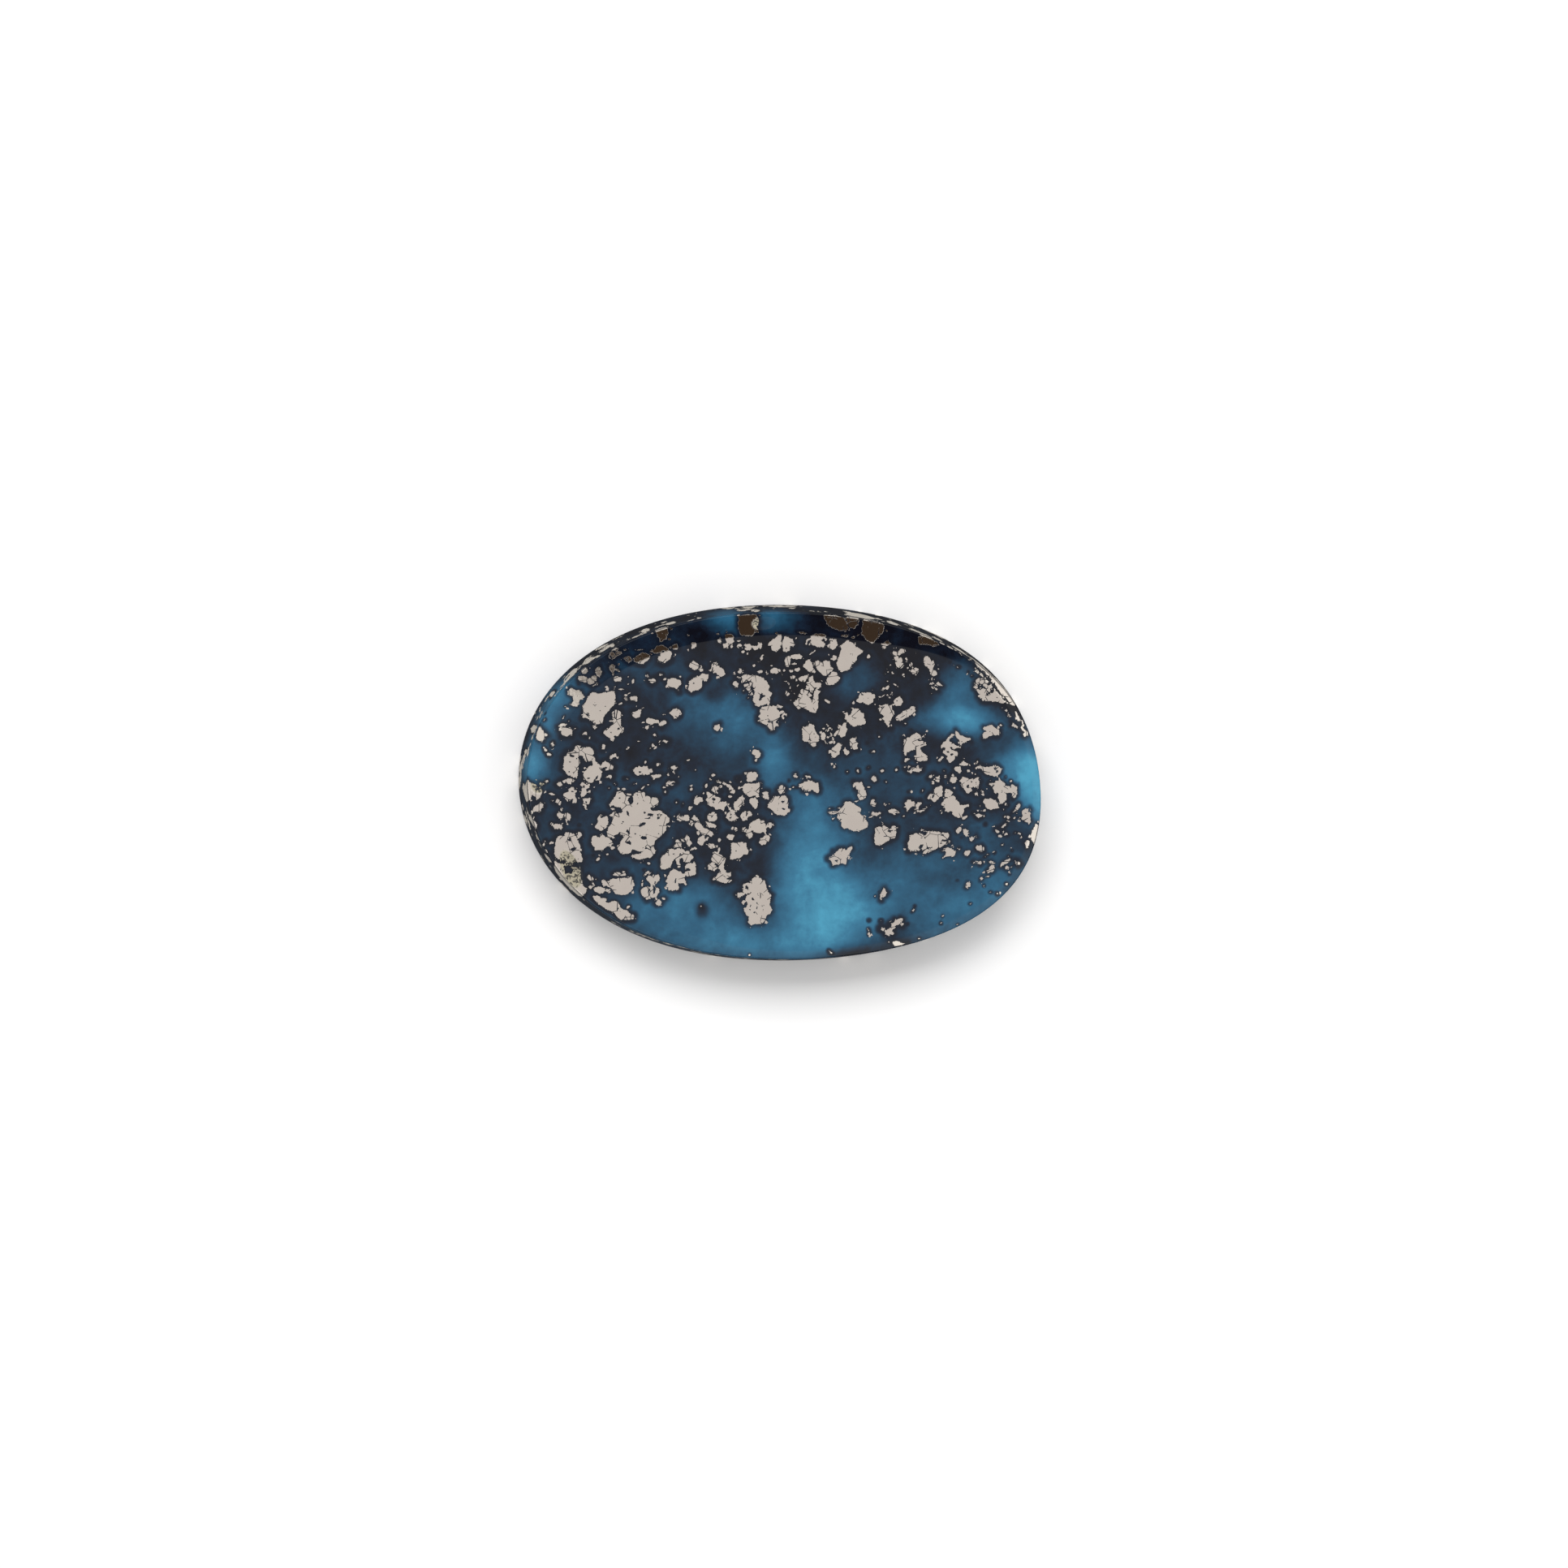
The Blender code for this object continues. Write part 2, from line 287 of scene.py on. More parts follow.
    ((3.15, 9.75), (3.6, 9.95), (3.95, 9.6), (3.85, 9.3), (3.6, 9.05), (3.3, 9.1)),
    ((5.05, 8.28), (5.3, 8.32), (5.55, 8.5), (5.68, 8.27), (5.5, 8.15), (5.42, 7.98), (5.22, 8.03),
     (5.3, 8.2)),
    ((0.48, 6.15), (0.7, 6.3), (1.08, 6.38), (1.0, 6.15), (0.84, 5.93), (0.58, 5.98)),
    ((1.3, 6.35), (1.4, 5.95), (1.75, 5.92), (1.82, 5.75), (1.6, 5.55), (1.45, 5.7), (1.35, 5.3),
     (1.02, 5.45), (0.92, 5.8), (1.08, 6.1)),
    ((0.72, 5.58), (0.57, 5.27), (0.42, 4.88), (0.17, 4.87), (0.3, 4.64), (0.6, 4.38), (0.8, 4.5),
     (1.1, 4.35), (1.52, 4.2), (1.66, 4.58), (1.65, 5.15), (1.75, 5.45), (1.5, 5.55), (1.25, 5.25),
     (1.0, 5.5)),
    ((-1.15, 6.5), (-0.95, 6.7), (-0.6, 6.62), (-0.5, 6.5), (-0.8, 6.38), (-1.05, 6.4)),
    ((3.82, 4.98), (3.97, 5.23), (4.05, 5.42), (4.38, 5.46), (4.77, 5.44), (4.9, 5.32), (4.79, 5.03),
     (4.68, 4.88), (4.48, 4.74), (4.2, 4.9), (3.99, 4.86)),
    # the upper right and the right end of the bevel
    ((5.72, 7.72), (5.88, 7.87), (6.05, 7.75), (6.15, 7.62), (6.35, 7.5), (6.49, 7.2), (6.45, 6.98),
     (6.2, 6.84), (6.03, 6.92), (5.95, 7.3), (5.8, 7.5)),
    ((6.1, 7.85), (6.3, 8.02), (6.55, 8.05), (6.58, 7.75), (6.4, 7.7)),
    ((6.6, 6.8), (6.85, 6.88), (7.0, 6.98), (7.26, 6.95), (7.37, 6.8), (7.25, 6.54), (7.0, 6.6),
     (6.75, 6.68)),
    ((7.55, 7.55), (7.75, 7.68), (7.95, 7.55), (8.05, 7.35), (8.18, 7.42), (8.22, 7.13), (8.11, 6.88),
     (8.36, 6.74), (8.42, 6.57), (8.2, 6.52), (8.05, 6.62), (7.94, 6.92), (7.68, 7.12)),
    ((8.26, 6.05), (8.5, 6.2), (8.6, 6.1), (8.8, 5.98), (8.5, 5.95)),
    ((8.0, 5.9), (8.25, 5.92), (8.4, 5.8), (8.5, 5.7), (8.3, 5.72)),
    ((6.1, 4.1), (6.5, 4.43), (6.8, 4.6), (7.0, 4.73), (7.18, 4.76), (7.2, 4.52), (7.05, 4.33),
     (6.72, 4.12), (6.39, 3.92), (6.15, 3.93)),
    ((5.93, 5.05), (6.1, 5.2), (6.25, 5.3), (6.45, 5.15), (6.5, 4.98), (6.35, 4.8), (6.1, 4.78)),
    ((10.55, 7.08), (10.75, 7.0), (11.0, 6.7), (11.2, 6.5), (11.5, 6.2), (11.42, 6.1), (11.1, 6.4),
     (10.85, 6.65), (10.6, 6.85)),
    ((10.5, 6.18), (10.6, 6.4), (10.75, 6.52), (11.1, 6.45), (11.28, 6.3), (11.55, 6.1), (11.85, 5.8),
     (12.05, 5.5), (12.4, 5.15), (12.2, 5.08), (11.9, 5.2), (11.45, 5.17), (11.07, 5.22), (10.8, 5.46),
     (10.68, 5.75), (10.52, 5.88)),
    ((10.6, 7.2), (10.8, 7.8), (11.4, 7.6), (11.95, 7.2), (12.45, 6.75), (12.85, 6.2), (13.2, 5.7),
     (13.5, 5.2), (12.82, 4.98), (12.5, 5.2), (12.24, 5.45), (11.9, 5.95), (11.47, 6.4), (11.05, 6.85)),
    ((7.1, 9.9), (7.1, 9.2), (7.5, 8.85), (7.9, 8.65), (8.1, 8.6), (8.1, 9.0), (8.0, 9.4)),
    ((7.3, 8.7), (7.8, 8.75), (8.4, 8.45), (8.5, 8.3), (8.2, 8.2), (7.8, 8.3), (7.3, 8.3)),
    ((12.95, 4.68), (13.1, 4.55), (13.25, 4.3), (13.3, 4.1), (13.15, 4.12), (13.05, 4.35)),
    # the left end and the middle left
    ((-10.06, 3.74), (-9.99, 3.84), (-9.85, 4.04), (-9.73, 4.02), (-9.53, 3.9), (-9.52, 3.64),
     (-9.52, 3.35), (-9.48, 3.15), (-9.35, 2.99), (-9.37, 2.77), (-9.56, 2.67), (-9.63, 2.55), (-9.8, 2.56),
     (-9.87, 2.49), (-9.82, 2.39), (-9.97, 2.22), (-10.11, 2.41), (-10.31, 2.57), (-10.47, 2.69),
     (-10.39, 2.86), (-10.13, 3.04), (-9.99, 3.16), (-9.92, 3.28), (-10.0, 3.47), (-9.94, 3.64)),
    ((-12.96, 2.91), (-12.79, 2.94), (-12.59, 2.92), (-12.35, 2.93), (-12.24, 2.82), (-12.24, 2.48),
     (-12.34, 2.52), (-12.51, 2.46), (-12.75, 2.46), (-12.87, 2.65), (-12.83, 2.72), (-12.97, 2.77)),
    ((-13.03, 2.97), (-12.84, 3.16), (-12.8, 3.23), (-12.69, 3.13), (-12.53, 3.1), (-12.67, 3.02),
     (-12.89, 3.0)),
    ((-11.66, 2.57), (-11.55, 2.74), (-11.41, 2.71), (-11.4, 2.53), (-11.5, 2.6)),
    ((-14.21, 2.77), (-14.04, 2.95), (-13.9, 2.76), (-13.74, 2.59), (-13.6, 2.43), (-13.73, 2.33),
     (-13.85, 2.04), (-13.99, 2.07), (-14.21, 2.19), (-14.32, 2.43)),
    ((-10.53, 1.76), (-10.49, 2.03), (-10.34, 2.05), (-10.31, 1.88), (-10.41, 1.76)),
    ((-12.71, 0.6), (-12.67, 0.87), (-12.61, 1.06), (-12.65, 1.25), (-12.52, 1.35), (-12.43, 1.53),
     (-12.26, 1.61), (-12.09, 1.56), (-12.03, 1.85), (-11.89, 1.98), (-11.71, 1.91), (-11.79, 1.77),
     (-11.52, 1.85), (-11.36, 1.8), (-11.26, 1.88), (-11.13, 1.81), (-10.98, 1.65), (-10.96, 1.51),
     (-11.07, 1.36), (-11.06, 1.14), (-11.37, 1.03), (-11.52, 1.17), (-11.6, 1.34), (-11.87, 1.38),
     (-11.89, 1.28), (-11.76, 1.09), (-11.72, 0.9), (-11.82, 0.61), (-11.88, 0.14), (-12.0, 0.12),
     (-12.14, 0.18), (-12.46, 0.29), (-12.54, 0.46)),
    ((-11.04, 1.31), (-10.96, 1.38), (-10.87, 1.12), (-10.64, 0.89), (-10.56, 0.65), (-10.46, 0.51),
     (-10.52, 0.12), (-10.59, 0.02), (-10.81, 0.01), (-10.9, 0.06), (-10.93, -0.14), (-11.05, -0.16),
     (-11.24, -0.07), (-11.56, 0.03), (-11.59, 0.2), (-11.5, 0.38), (-11.47, 0.47), (-11.36, 0.65),
     (-11.13, 0.82), (-11.0, 0.83), (-11.06, 1.04)),
    ((-10.52, 0.89), (-10.43, 1.04), (-10.29, 1.11), (-10.21, 1.03), (-10.04, 1.0), (-9.92, 0.84),
     (-9.82, 0.75), (-9.86, 0.63), (-10.06, 0.66), (-10.25, 0.57), (-10.32, 0.61), (-10.18, 0.73),
     (-10.3, 0.76), (-10.47, 0.74)),
    ((-10.07, 1.17), (-10.1, 1.25), (-9.98, 1.47), (-9.72, 1.57), (-9.67, 1.43), (-9.56, 1.4),
     (-9.67, 1.33), (-9.86, 1.35), (-10.0, 1.17)),
    ((-10.28, 0.18), (-10.07, 0.31), (-9.93, 0.28), (-9.92, 0.2), (-9.98, 0.12), (-10.05, 0.18),
     (-10.15, 0.17)),
    ((-13.03, -0.28), (-12.85, -0.2), (-12.74, -0.05), (-12.6, -0.07), (-12.5, 0.02), (-12.5, -0.14),
     (-12.55, -0.28), (-12.64, -0.21), (-12.68, -0.37), (-12.87, -0.4), (-12.95, -0.37)),
    ((-12.46, 0.03), (-12.21, 0.06), (-11.99, -0.03), (-12.02, -0.1), (-12.25, -0.26), (-12.35, -0.23),
     (-12.44, -0.12)),
    ((-11.72, -0.24), (-11.48, -0.13), (-11.22, -0.16), (-11.09, -0.27), (-11.2, -0.42), (-11.34, -0.47),
     (-11.32, -0.7), (-11.42, -0.9), (-11.5, -0.98), (-11.62, -0.98), (-11.6, -0.65), (-11.56, -0.4)),
    ((-11.55, -1.1), (-11.35, -1.05), (-11.07, -1.01), (-11.05, -1.13), (-11.15, -1.3), (-11.22, -1.43),
     (-11.29, -1.55), (-11.39, -1.58), (-11.46, -1.46), (-11.45, -1.27)),
    ((-12.63, -0.92), (-12.55, -0.77), (-12.26, -0.69), (-12.32, -0.52), (-12.17, -0.4), (-12.03, -0.46),
     (-12.0, -0.63), (-11.97, -0.9), (-11.87, -1.04), (-11.85, -1.33), (-12.1, -1.31), (-12.0, -1.09),
     (-12.11, -1.07), (-12.3, -1.34), (-12.39, -1.22), (-12.54, -1.04)),
    ((-13.06, -1.32), (-12.93, -1.06), (-12.87, -1.17), (-12.73, -1.28), (-12.75, -1.48), (-12.87, -1.48),
     (-12.99, -1.39)),
    ((-16.6, -0.85), (-16.1, -0.45), (-15.6, -0.6), (-15.0, -0.3), (-14.67, -0.12), (-14.55, -0.26),
     (-14.35, -0.31), (-14.13, -0.44), (-13.94, -0.54), (-13.79, -0.77), (-13.9, -1.01), (-13.96, -1.13),
     (-14.1, -1.24), (-14.19, -1.02), (-14.36, -0.98), (-14.44, -1.27), (-14.83, -1.38), (-15.4, -1.6),
     (-16.0, -1.25)),
    ((-14.05, -0.22), (-13.9, -0.27), (-13.71, -0.24), (-13.76, -0.34), (-13.86, -0.44), (-14.03, -0.34)),
    ((-14.26, -1.87), (-14.26, -1.66), (-14.0, -1.48), (-13.86, -1.36), (-13.71, -1.51), (-13.8, -1.69),
     (-13.87, -1.93), (-14.08, -1.94)),
    ((-8.11, 3.39), (-8.01, 3.62), (-7.75, 3.61), (-7.6, 3.52), (-7.38, 3.52), (-7.35, 3.44), (-7.52, 3.34),
     (-7.63, 3.4), (-7.63, 3.3), (-7.76, 3.25), (-7.88, 3.33), (-8.03, 3.35)),
    ((-7.34, 3.32), (-7.19, 3.5), (-6.99, 3.54), (-6.91, 3.39), (-7.04, 3.29), (-7.2, 3.13), (-7.3, 3.21)),
    ((-7.15, 2.32), (-7.03, 2.42), (-6.93, 2.39), (-6.76, 2.36), (-6.78, 2.26), (-6.89, 2.18),
     (-6.93, 2.29)),
    ((-6.79, 3.96), (-6.67, 4.05), (-6.6, 4.15), (-6.41, 4.19), (-6.31, 4.21), (-6.24, 4.14), (-6.1, 4.1),
     (-6.11, 4.0), (-6.23, 3.95), (-6.2, 3.78), (-6.32, 3.66), (-6.49, 3.65), (-6.6, 3.81), (-6.7, 3.92)),
    ((-4.22, 3.21), (-4.17, 3.35), (-4.01, 3.39), (-3.89, 3.44), (-3.94, 3.34), (-3.86, 3.22),
     (-3.91, 3.08), (-4.09, 3.01), (-4.19, 3.09)),
    ((-7.46, 1.02), (-7.31, 1.15), (-7.22, 1.02), (-7.25, 0.94), (-7.4, 0.93)),
    ((-6.56, 0.94), (-6.38, 0.97), (-6.2, 0.87), (-6.25, 0.78), (-6.49, 0.72), (-6.56, 0.82)),
    ((-6.55, 0.63), (-6.46, 0.67), (-6.37, 0.56), (-6.3, 0.47), (-6.43, 0.5)),
    ((-8.76, 0.63), (-8.62, 0.77), (-8.43, 0.88), (-8.31, 0.82), (-7.9, 0.9), (-7.85, 0.73), (-7.68, 0.72),
     (-7.59, 0.61), (-7.65, 0.54), (-7.91, 0.46), (-8.1, 0.38), (-8.44, 0.38), (-8.59, 0.44)),
    ((-7.69, 0.39), (-7.42, 0.45), (-7.3, 0.41), (-7.16, 0.46), (-7.13, 0.38), (-7.23, 0.26), (-7.42, 0.26),
     (-7.52, 0.18), (-7.61, 0.07), (-7.65, 0.13), (-7.56, 0.22)),
    ((-6.82, -0.11), (-6.73, 0.06), (-6.57, 0.14), (-6.49, 0.07), (-6.35, 0.14), (-6.3, 0.06),
     (-6.47, -0.02), (-6.58, -0.12)),
    # the middle
    ((-1.65, 4.28), (-1.49, 4.45), (-1.33, 4.51), (-1.03, 4.54), (-0.84, 4.55), (-0.72, 4.48),
     (-0.64, 4.36), (-0.52, 4.22), (-0.48, 4.05), (-0.52, 3.8), (-0.74, 3.7), (-0.66, 3.58), (-0.51, 3.52),
     (-0.59, 3.41), (-0.78, 3.38), (-0.76, 3.24), (-0.84, 3.12), (-0.99, 3.11), (-1.11, 3.28),
     (-1.19, 3.42), (-1.39, 3.46), (-1.49, 3.51), (-1.51, 3.58), (-1.71, 3.6), (-1.73, 3.67), (-1.54, 3.75),
     (-1.72, 3.89), (-1.62, 4.01)),
    ((-0.47, 4.24), (-0.37, 4.3), (-0.27, 4.25), (-0.2, 4.13), (-0.07, 4.06), (-0.12, 4.0), (-0.27, 4.01),
     (-0.28, 3.76), (-0.36, 3.77), (-0.41, 3.95), (-0.37, 4.1)),
    ((0.8, 3.36), (0.94, 3.41), (1.11, 3.42), (1.13, 3.54), (1.32, 3.57), (1.46, 3.5), (1.48, 3.33),
     (1.6, 3.1), (1.73, 2.96), (1.8, 2.81), (1.74, 2.67), (1.63, 2.54), (1.62, 2.37), (1.48, 2.29),
     (1.31, 2.37), (1.21, 2.55), (0.92, 2.59), (0.84, 2.78), (0.82, 3.07)),
    ((-2.01, 1.8), (-1.97, 1.97), (-1.82, 2.03), (-1.63, 1.97), (-1.5, 1.84), (-1.55, 1.64), (-1.7, 1.54),
     (-1.71, 1.37), (-1.8, 1.35), (-1.83, 1.49), (-1.74, 1.63), (-1.91, 1.72)),
    ((-4.02, 0.21), (-3.85, 0.24), (-3.65, 0.12), (-3.41, 0.06), (-3.19, -0.02), (-3.01, -0.17),
     (-2.89, -0.34), (-2.93, -0.46), (-3.03, -0.5), (-3.16, -0.44), (-3.23, -0.28), (-3.33, -0.11),
     (-3.55, -0.02), (-3.75, 0.08), (-3.94, 0.09)),
    ((-4.22, -0.33), (-4.13, -0.12), (-3.89, -0.13), (-3.84, -0.27), (-3.95, -0.36), (-3.85, -0.51),
     (-3.94, -0.57), (-4.04, -0.49), (-4.19, -0.42)),
    ((-2.81, 0.37), (-2.64, 0.4), (-2.59, 0.27), (-2.52, 0.13), (-2.55, 0.07), (-2.65, 0.16),
     (-2.79, 0.25)),
    ((-2.27, 0.5), (-2.19, 0.67), (-2.07, 0.76), (-1.88, 0.78), (-1.73, 0.74), (-1.68, 0.64), (-1.61, 0.57),
     (-1.63, 0.48), (-1.7, 0.45), (-1.72, 0.33), (-2.01, 0.2), (-2.18, 0.18), (-2.25, 0.26)),
    ((-2.51, -0.13), (-2.48, -0.01), (-2.29, 0.07), (-2.1, 0.1), (-1.81, 0.08), (-1.64, 0.11),
     (-1.62, 0.19), (-1.52, 0.19), (-1.53, 0.04), (-1.5, -0.15), (-1.53, -0.44), (-1.52, -0.66),
     (-1.64, -0.68), (-1.69, -0.54), (-1.88, -0.62), (-2.08, -0.68), (-2.18, -0.58), (-2.35, -0.47),
     (-2.48, -0.3)),
    ((-1.36, -0.39), (-1.21, -0.33), (-1.02, -0.35), (-1.03, -0.49), (-0.96, -0.62), (-0.9, -0.74),
     (-1.01, -0.77), (-1.3, -0.69), (-1.33, -0.58), (-1.18, -0.52), (-1.31, -0.48)),
    ((-0.49, -0.22), (-0.39, -0.16), (-0.38, -0.02), (-0.27, 0.05), (-0.14, -0.01), (0.01, -0.13),
     (-0.05, -0.25), (-0.1, -0.42), (-0.24, -0.43), (-0.36, -0.43)),
    ((0.42, 0.55), (0.44, 0.69), (0.56, 0.74), (0.55, 0.64), (0.64, 0.52), (0.5, 0.5)),
    ((0.92, 0.21), (1.1, 0.31), (1.33, 0.37), (1.5, 0.34), (1.64, 0.26), (1.8, 0.26), (1.83, 0.19),
     (1.78, 0.15), (1.87, 0.11), (1.8, 0.05), (1.9, -0.05), (1.89, -0.26), (1.78, -0.31), (1.64, -0.25),
     (1.51, -0.12), (1.44, -0.16), (1.3, -0.26), (1.05, -0.22), (0.93, -0.15), (0.91, -0.06), (1.0, 0.0),
     (0.97, 0.09)),
    ((1.07, 0.61), (1.15, 0.64), (1.24, 0.59), (1.23, 0.47), (1.28, 0.42), (1.19, 0.38), (1.13, 0.46)),
    # the middle right
    ((3.19, 3.93), (3.26, 4.07), (3.19, 4.22), (3.34, 4.34), (3.42, 4.2), (3.57, 4.25), (3.65, 4.47),
     (3.58, 4.6), (3.73, 4.53), (3.99, 4.53), (4.07, 4.37), (4.27, 4.27), (4.31, 4.06), (4.41, 3.79),
     (4.34, 3.64), (4.0, 3.62), (3.76, 3.54), (3.62, 3.59), (3.49, 3.67), (3.31, 3.86)),
    ((5.06, 4.49), (5.16, 4.59), (5.15, 4.76), (5.37, 4.72), (5.44, 4.8), (5.61, 4.87), (5.8, 4.85),
     (5.88, 4.71), (5.87, 4.54), (6.0, 4.52), (5.99, 4.35), (5.93, 4.1), (5.8, 3.88), (5.75, 3.69),
     (5.81, 3.52), (5.73, 3.53), (5.65, 3.64), (5.5, 3.78), (5.45, 3.97), (5.18, 3.91), (5.16, 3.96),
     (5.42, 4.06), (5.47, 4.18), (5.29, 4.26), (5.19, 4.38)),
    ((1.86, 2.89), (1.9, 3.06), (2.0, 3.16), (2.12, 3.09), (2.15, 2.92), (2.13, 2.68), (2.27, 2.46),
     (2.17, 2.48), (2.07, 2.61), (1.97, 2.68), (1.89, 2.79)),
    ((2.62, 2.91), (2.64, 3.06), (2.75, 3.21), (2.92, 3.31), (2.94, 3.41), (2.81, 3.47), (2.88, 3.57),
     (3.0, 3.55), (3.08, 3.51), (3.15, 3.7), (3.29, 3.69), (3.28, 3.51), (3.35, 3.35), (3.31, 3.15),
     (3.24, 2.93), (3.0, 2.88), (3.0, 2.99), (2.83, 3.06), (2.71, 2.96)),
    ((3.54, 2.77), (3.67, 2.89), (3.79, 2.83), (3.89, 2.66), (4.01, 2.54), (3.95, 2.42), (4.02, 2.28),
     (3.81, 2.21), (3.64, 2.26), (3.58, 2.41), (3.55, 2.58)),
    ((2.34, 2.54), (2.4, 2.64), (2.57, 2.73), (2.75, 2.61), (2.63, 2.5), (2.44, 2.47)),
    ((2.33, 2.05), (2.52, 2.2), (2.68, 2.38), (2.87, 2.58), (3.12, 2.51), (3.05, 2.32), (3.0, 2.17),
     (2.97, 1.93), (2.8, 1.8), (2.68, 1.68), (2.54, 1.72), (2.51, 1.94), (2.36, 1.96)),
    ((3.18, 2.15), (3.29, 2.33), (3.35, 2.2), (3.57, 2.02), (3.36, 1.87), (3.28, 1.96)),
    ((4.83, 0.57), (4.99, 0.77), (5.11, 0.63), (5.16, 0.49), (5.0, 0.41), (4.87, 0.48)),
    ((3.82, 0.35), (4.02, 0.35), (4.29, 0.37), (4.34, 0.22), (4.44, 0.08), (4.55, -0.16), (4.61, -0.36),
     (4.54, -0.55), (4.37, -0.61), (4.2, -0.66), (4.12, -0.46), (4.09, -0.23), (4.13, -0.06), (3.99, -0.03),
     (4.0, 0.16), (3.86, 0.23)),
    ((6.64, 2.57), (6.64, 2.89), (6.82, 2.97), (6.99, 3.04), (7.18, 3.2), (7.35, 3.23), (7.54, 3.15),
     (7.62, 2.99), (7.63, 2.84), (7.75, 2.8), (7.73, 2.67), (7.8, 2.77), (7.93, 2.73), (7.88, 2.56),
     (7.69, 2.5), (7.57, 2.36), (7.65, 2.21), (7.85, 2.1), (8.0, 1.98), (8.01, 1.74), (7.77, 1.66),
     (7.43, 1.67), (7.27, 1.81), (7.36, 2.03), (7.36, 2.25), (7.26, 2.34), (7.17, 2.27), (6.97, 2.22),
     (6.83, 2.11), (6.79, 1.95), (6.7, 2.01), (6.64, 2.28)),
    ((7.67, 3.09), (7.84, 3.22), (7.87, 3.05), (7.79, 3.05), (7.75, 3.0)),
    ((6.69, 1.62), (6.72, 1.77), (6.85, 1.84), (6.99, 1.76), (6.85, 1.68), (6.77, 1.6)),
    ((6.79, 1.2), (6.85, 1.23), (6.96, 1.1), (7.09, 1.08), (7.02, 0.99), (6.9, 1.07)),
    ((7.04, 1.28), (7.42, 1.27), (7.72, 1.32), (7.71, 1.12), (7.5, 1.04), (7.11, 1.09)),
    # the right
    ((12.72, 4.08), (12.85, 4.03), (12.95, 3.91), (13.1, 3.86), (13.17, 3.7), (13.1, 3.72), (13.0, 3.82),
     (12.76, 3.83), (12.85, 3.92)),
    ((13.27, 3.75), (13.37, 3.8), (13.52, 3.64), (13.64, 3.57), (13.8, 3.5), (13.78, 3.35), (13.58, 3.23),
     (13.48, 3.34), (13.53, 3.49), (13.4, 3.56)),
    ((11.13, 3.59), (11.2, 3.74), (11.39, 3.79), (11.49, 3.82), (11.66, 3.85), (11.83, 3.71), (12.0, 3.57),
     (12.12, 3.56), (12.1, 3.38), (12.03, 3.28), (11.82, 3.27), (11.56, 3.21), (11.34, 3.08), (11.15, 3.06),
     (11.12, 3.13), (11.16, 3.37), (11.35, 3.48), (11.28, 3.55)),
    ((9.55, 3.5), (9.64, 3.4), (9.8, 3.24), (10.02, 3.14), (10.27, 3.06), (10.42, 3.06), (10.46, 2.87),
     (10.35, 2.93), (10.1, 2.83), (9.99, 2.73), (9.89, 2.66), (9.84, 2.77), (9.78, 2.94), (9.63, 3.08),
     (9.55, 3.25)),
    ((8.76, 2.38), (8.77, 2.62), (8.89, 2.79), (9.08, 2.94), (9.19, 3.12), (9.33, 3.26), (9.46, 3.25),
     (9.41, 3.1), (9.29, 3.03), (9.22, 2.88), (9.37, 2.74), (9.5, 2.67), (9.7, 2.57), (9.9, 2.53),
     (9.87, 2.47), (9.6, 2.46), (9.49, 2.3), (9.71, 2.26), (9.74, 2.12), (9.7, 1.99), (9.57, 2.02),
     (9.55, 1.84), (9.44, 1.72), (9.32, 1.63), (9.19, 1.74), (9.09, 1.81), (9.14, 2.0), (9.0, 2.12),
     (8.88, 2.24), (9.0, 2.34), (8.99, 2.48), (8.85, 2.5), (8.83, 2.38)),
    ((9.84, 1.54), (10.07, 1.76), (10.27, 1.62), (10.3, 1.52), (10.13, 1.5), (9.96, 1.47)),
    ((9.56, 1.33), (9.64, 1.44), (9.9, 1.44), (9.94, 1.29), (9.95, 1.15), (9.86, 1.05), (9.78, 1.14),
     (9.63, 1.21)),
    ((10.87, 1.45), (11.0, 1.57), (11.13, 1.5), (11.3, 1.46), (11.74, 1.47), (11.91, 1.57), (12.08, 1.51),
     (12.18, 1.44), (12.3, 1.37), (12.27, 1.15), (12.15, 1.05), (11.98, 1.04), (11.91, 0.9), (11.79, 0.94),
     (11.52, 0.98), (11.34, 1.07), (11.21, 1.24), (11.11, 1.36), (10.94, 1.35)),
    ((8.11, 0.71), (8.2, 0.86), (8.37, 0.93), (8.44, 0.91), (8.28, 0.76)),
    ((8.4, 0.64), (8.52, 0.81), (8.72, 0.8), (8.79, 0.65), (8.73, 0.51), (8.53, 0.53)),
    ((9.34, 0.57), (9.37, 0.82), (9.5, 0.99), (9.59, 0.87), (9.77, 0.76), (9.68, 0.58), (9.53, 0.41),
     (9.43, 0.5)),
    ((9.89, 0.66), (10.04, 0.72), (10.05, 0.89), (10.15, 0.84), (10.25, 0.77), (10.43, 0.73), (10.5, 0.7),
     (10.6, 0.81), (10.67, 0.69), (10.84, 0.82), (10.98, 0.84), (10.97, 0.67), (11.09, 0.58), (11.0, 0.46),
     (10.98, 0.24), (10.84, 0.16), (10.73, 0.35), (10.62, 0.27), (10.49, 0.25), (10.62, 0.08),
     (10.43, -0.07), (10.29, -0.05), (10.23, 0.12), (10.08, 0.21), (10.0, 0.37), (9.97, 0.52)),
    ((10.7, -0.02), (10.95, 0.0), (10.98, -0.15), (10.82, -0.13)),
    ((11.56, 0.5), (11.66, 0.56), (11.76, 0.5), (11.87, 0.58), (12.0, 0.66), (12.21, 0.74), (12.51, 0.53),
     (12.49, 0.4), (12.76, 0.39), (12.84, 0.29), (12.86, 0.46), (12.98, 0.49), (13.08, 0.37), (13.17, 0.38),
     (13.23, 0.18), (13.22, -0.06), (13.15, -0.21), (13.03, -0.33), (12.95, -0.21), (12.97, -0.02),
     (12.82, 0.03), (12.58, 0.02), (12.64, -0.2), (12.62, -0.42), (12.48, -0.54), (12.36, -0.69),
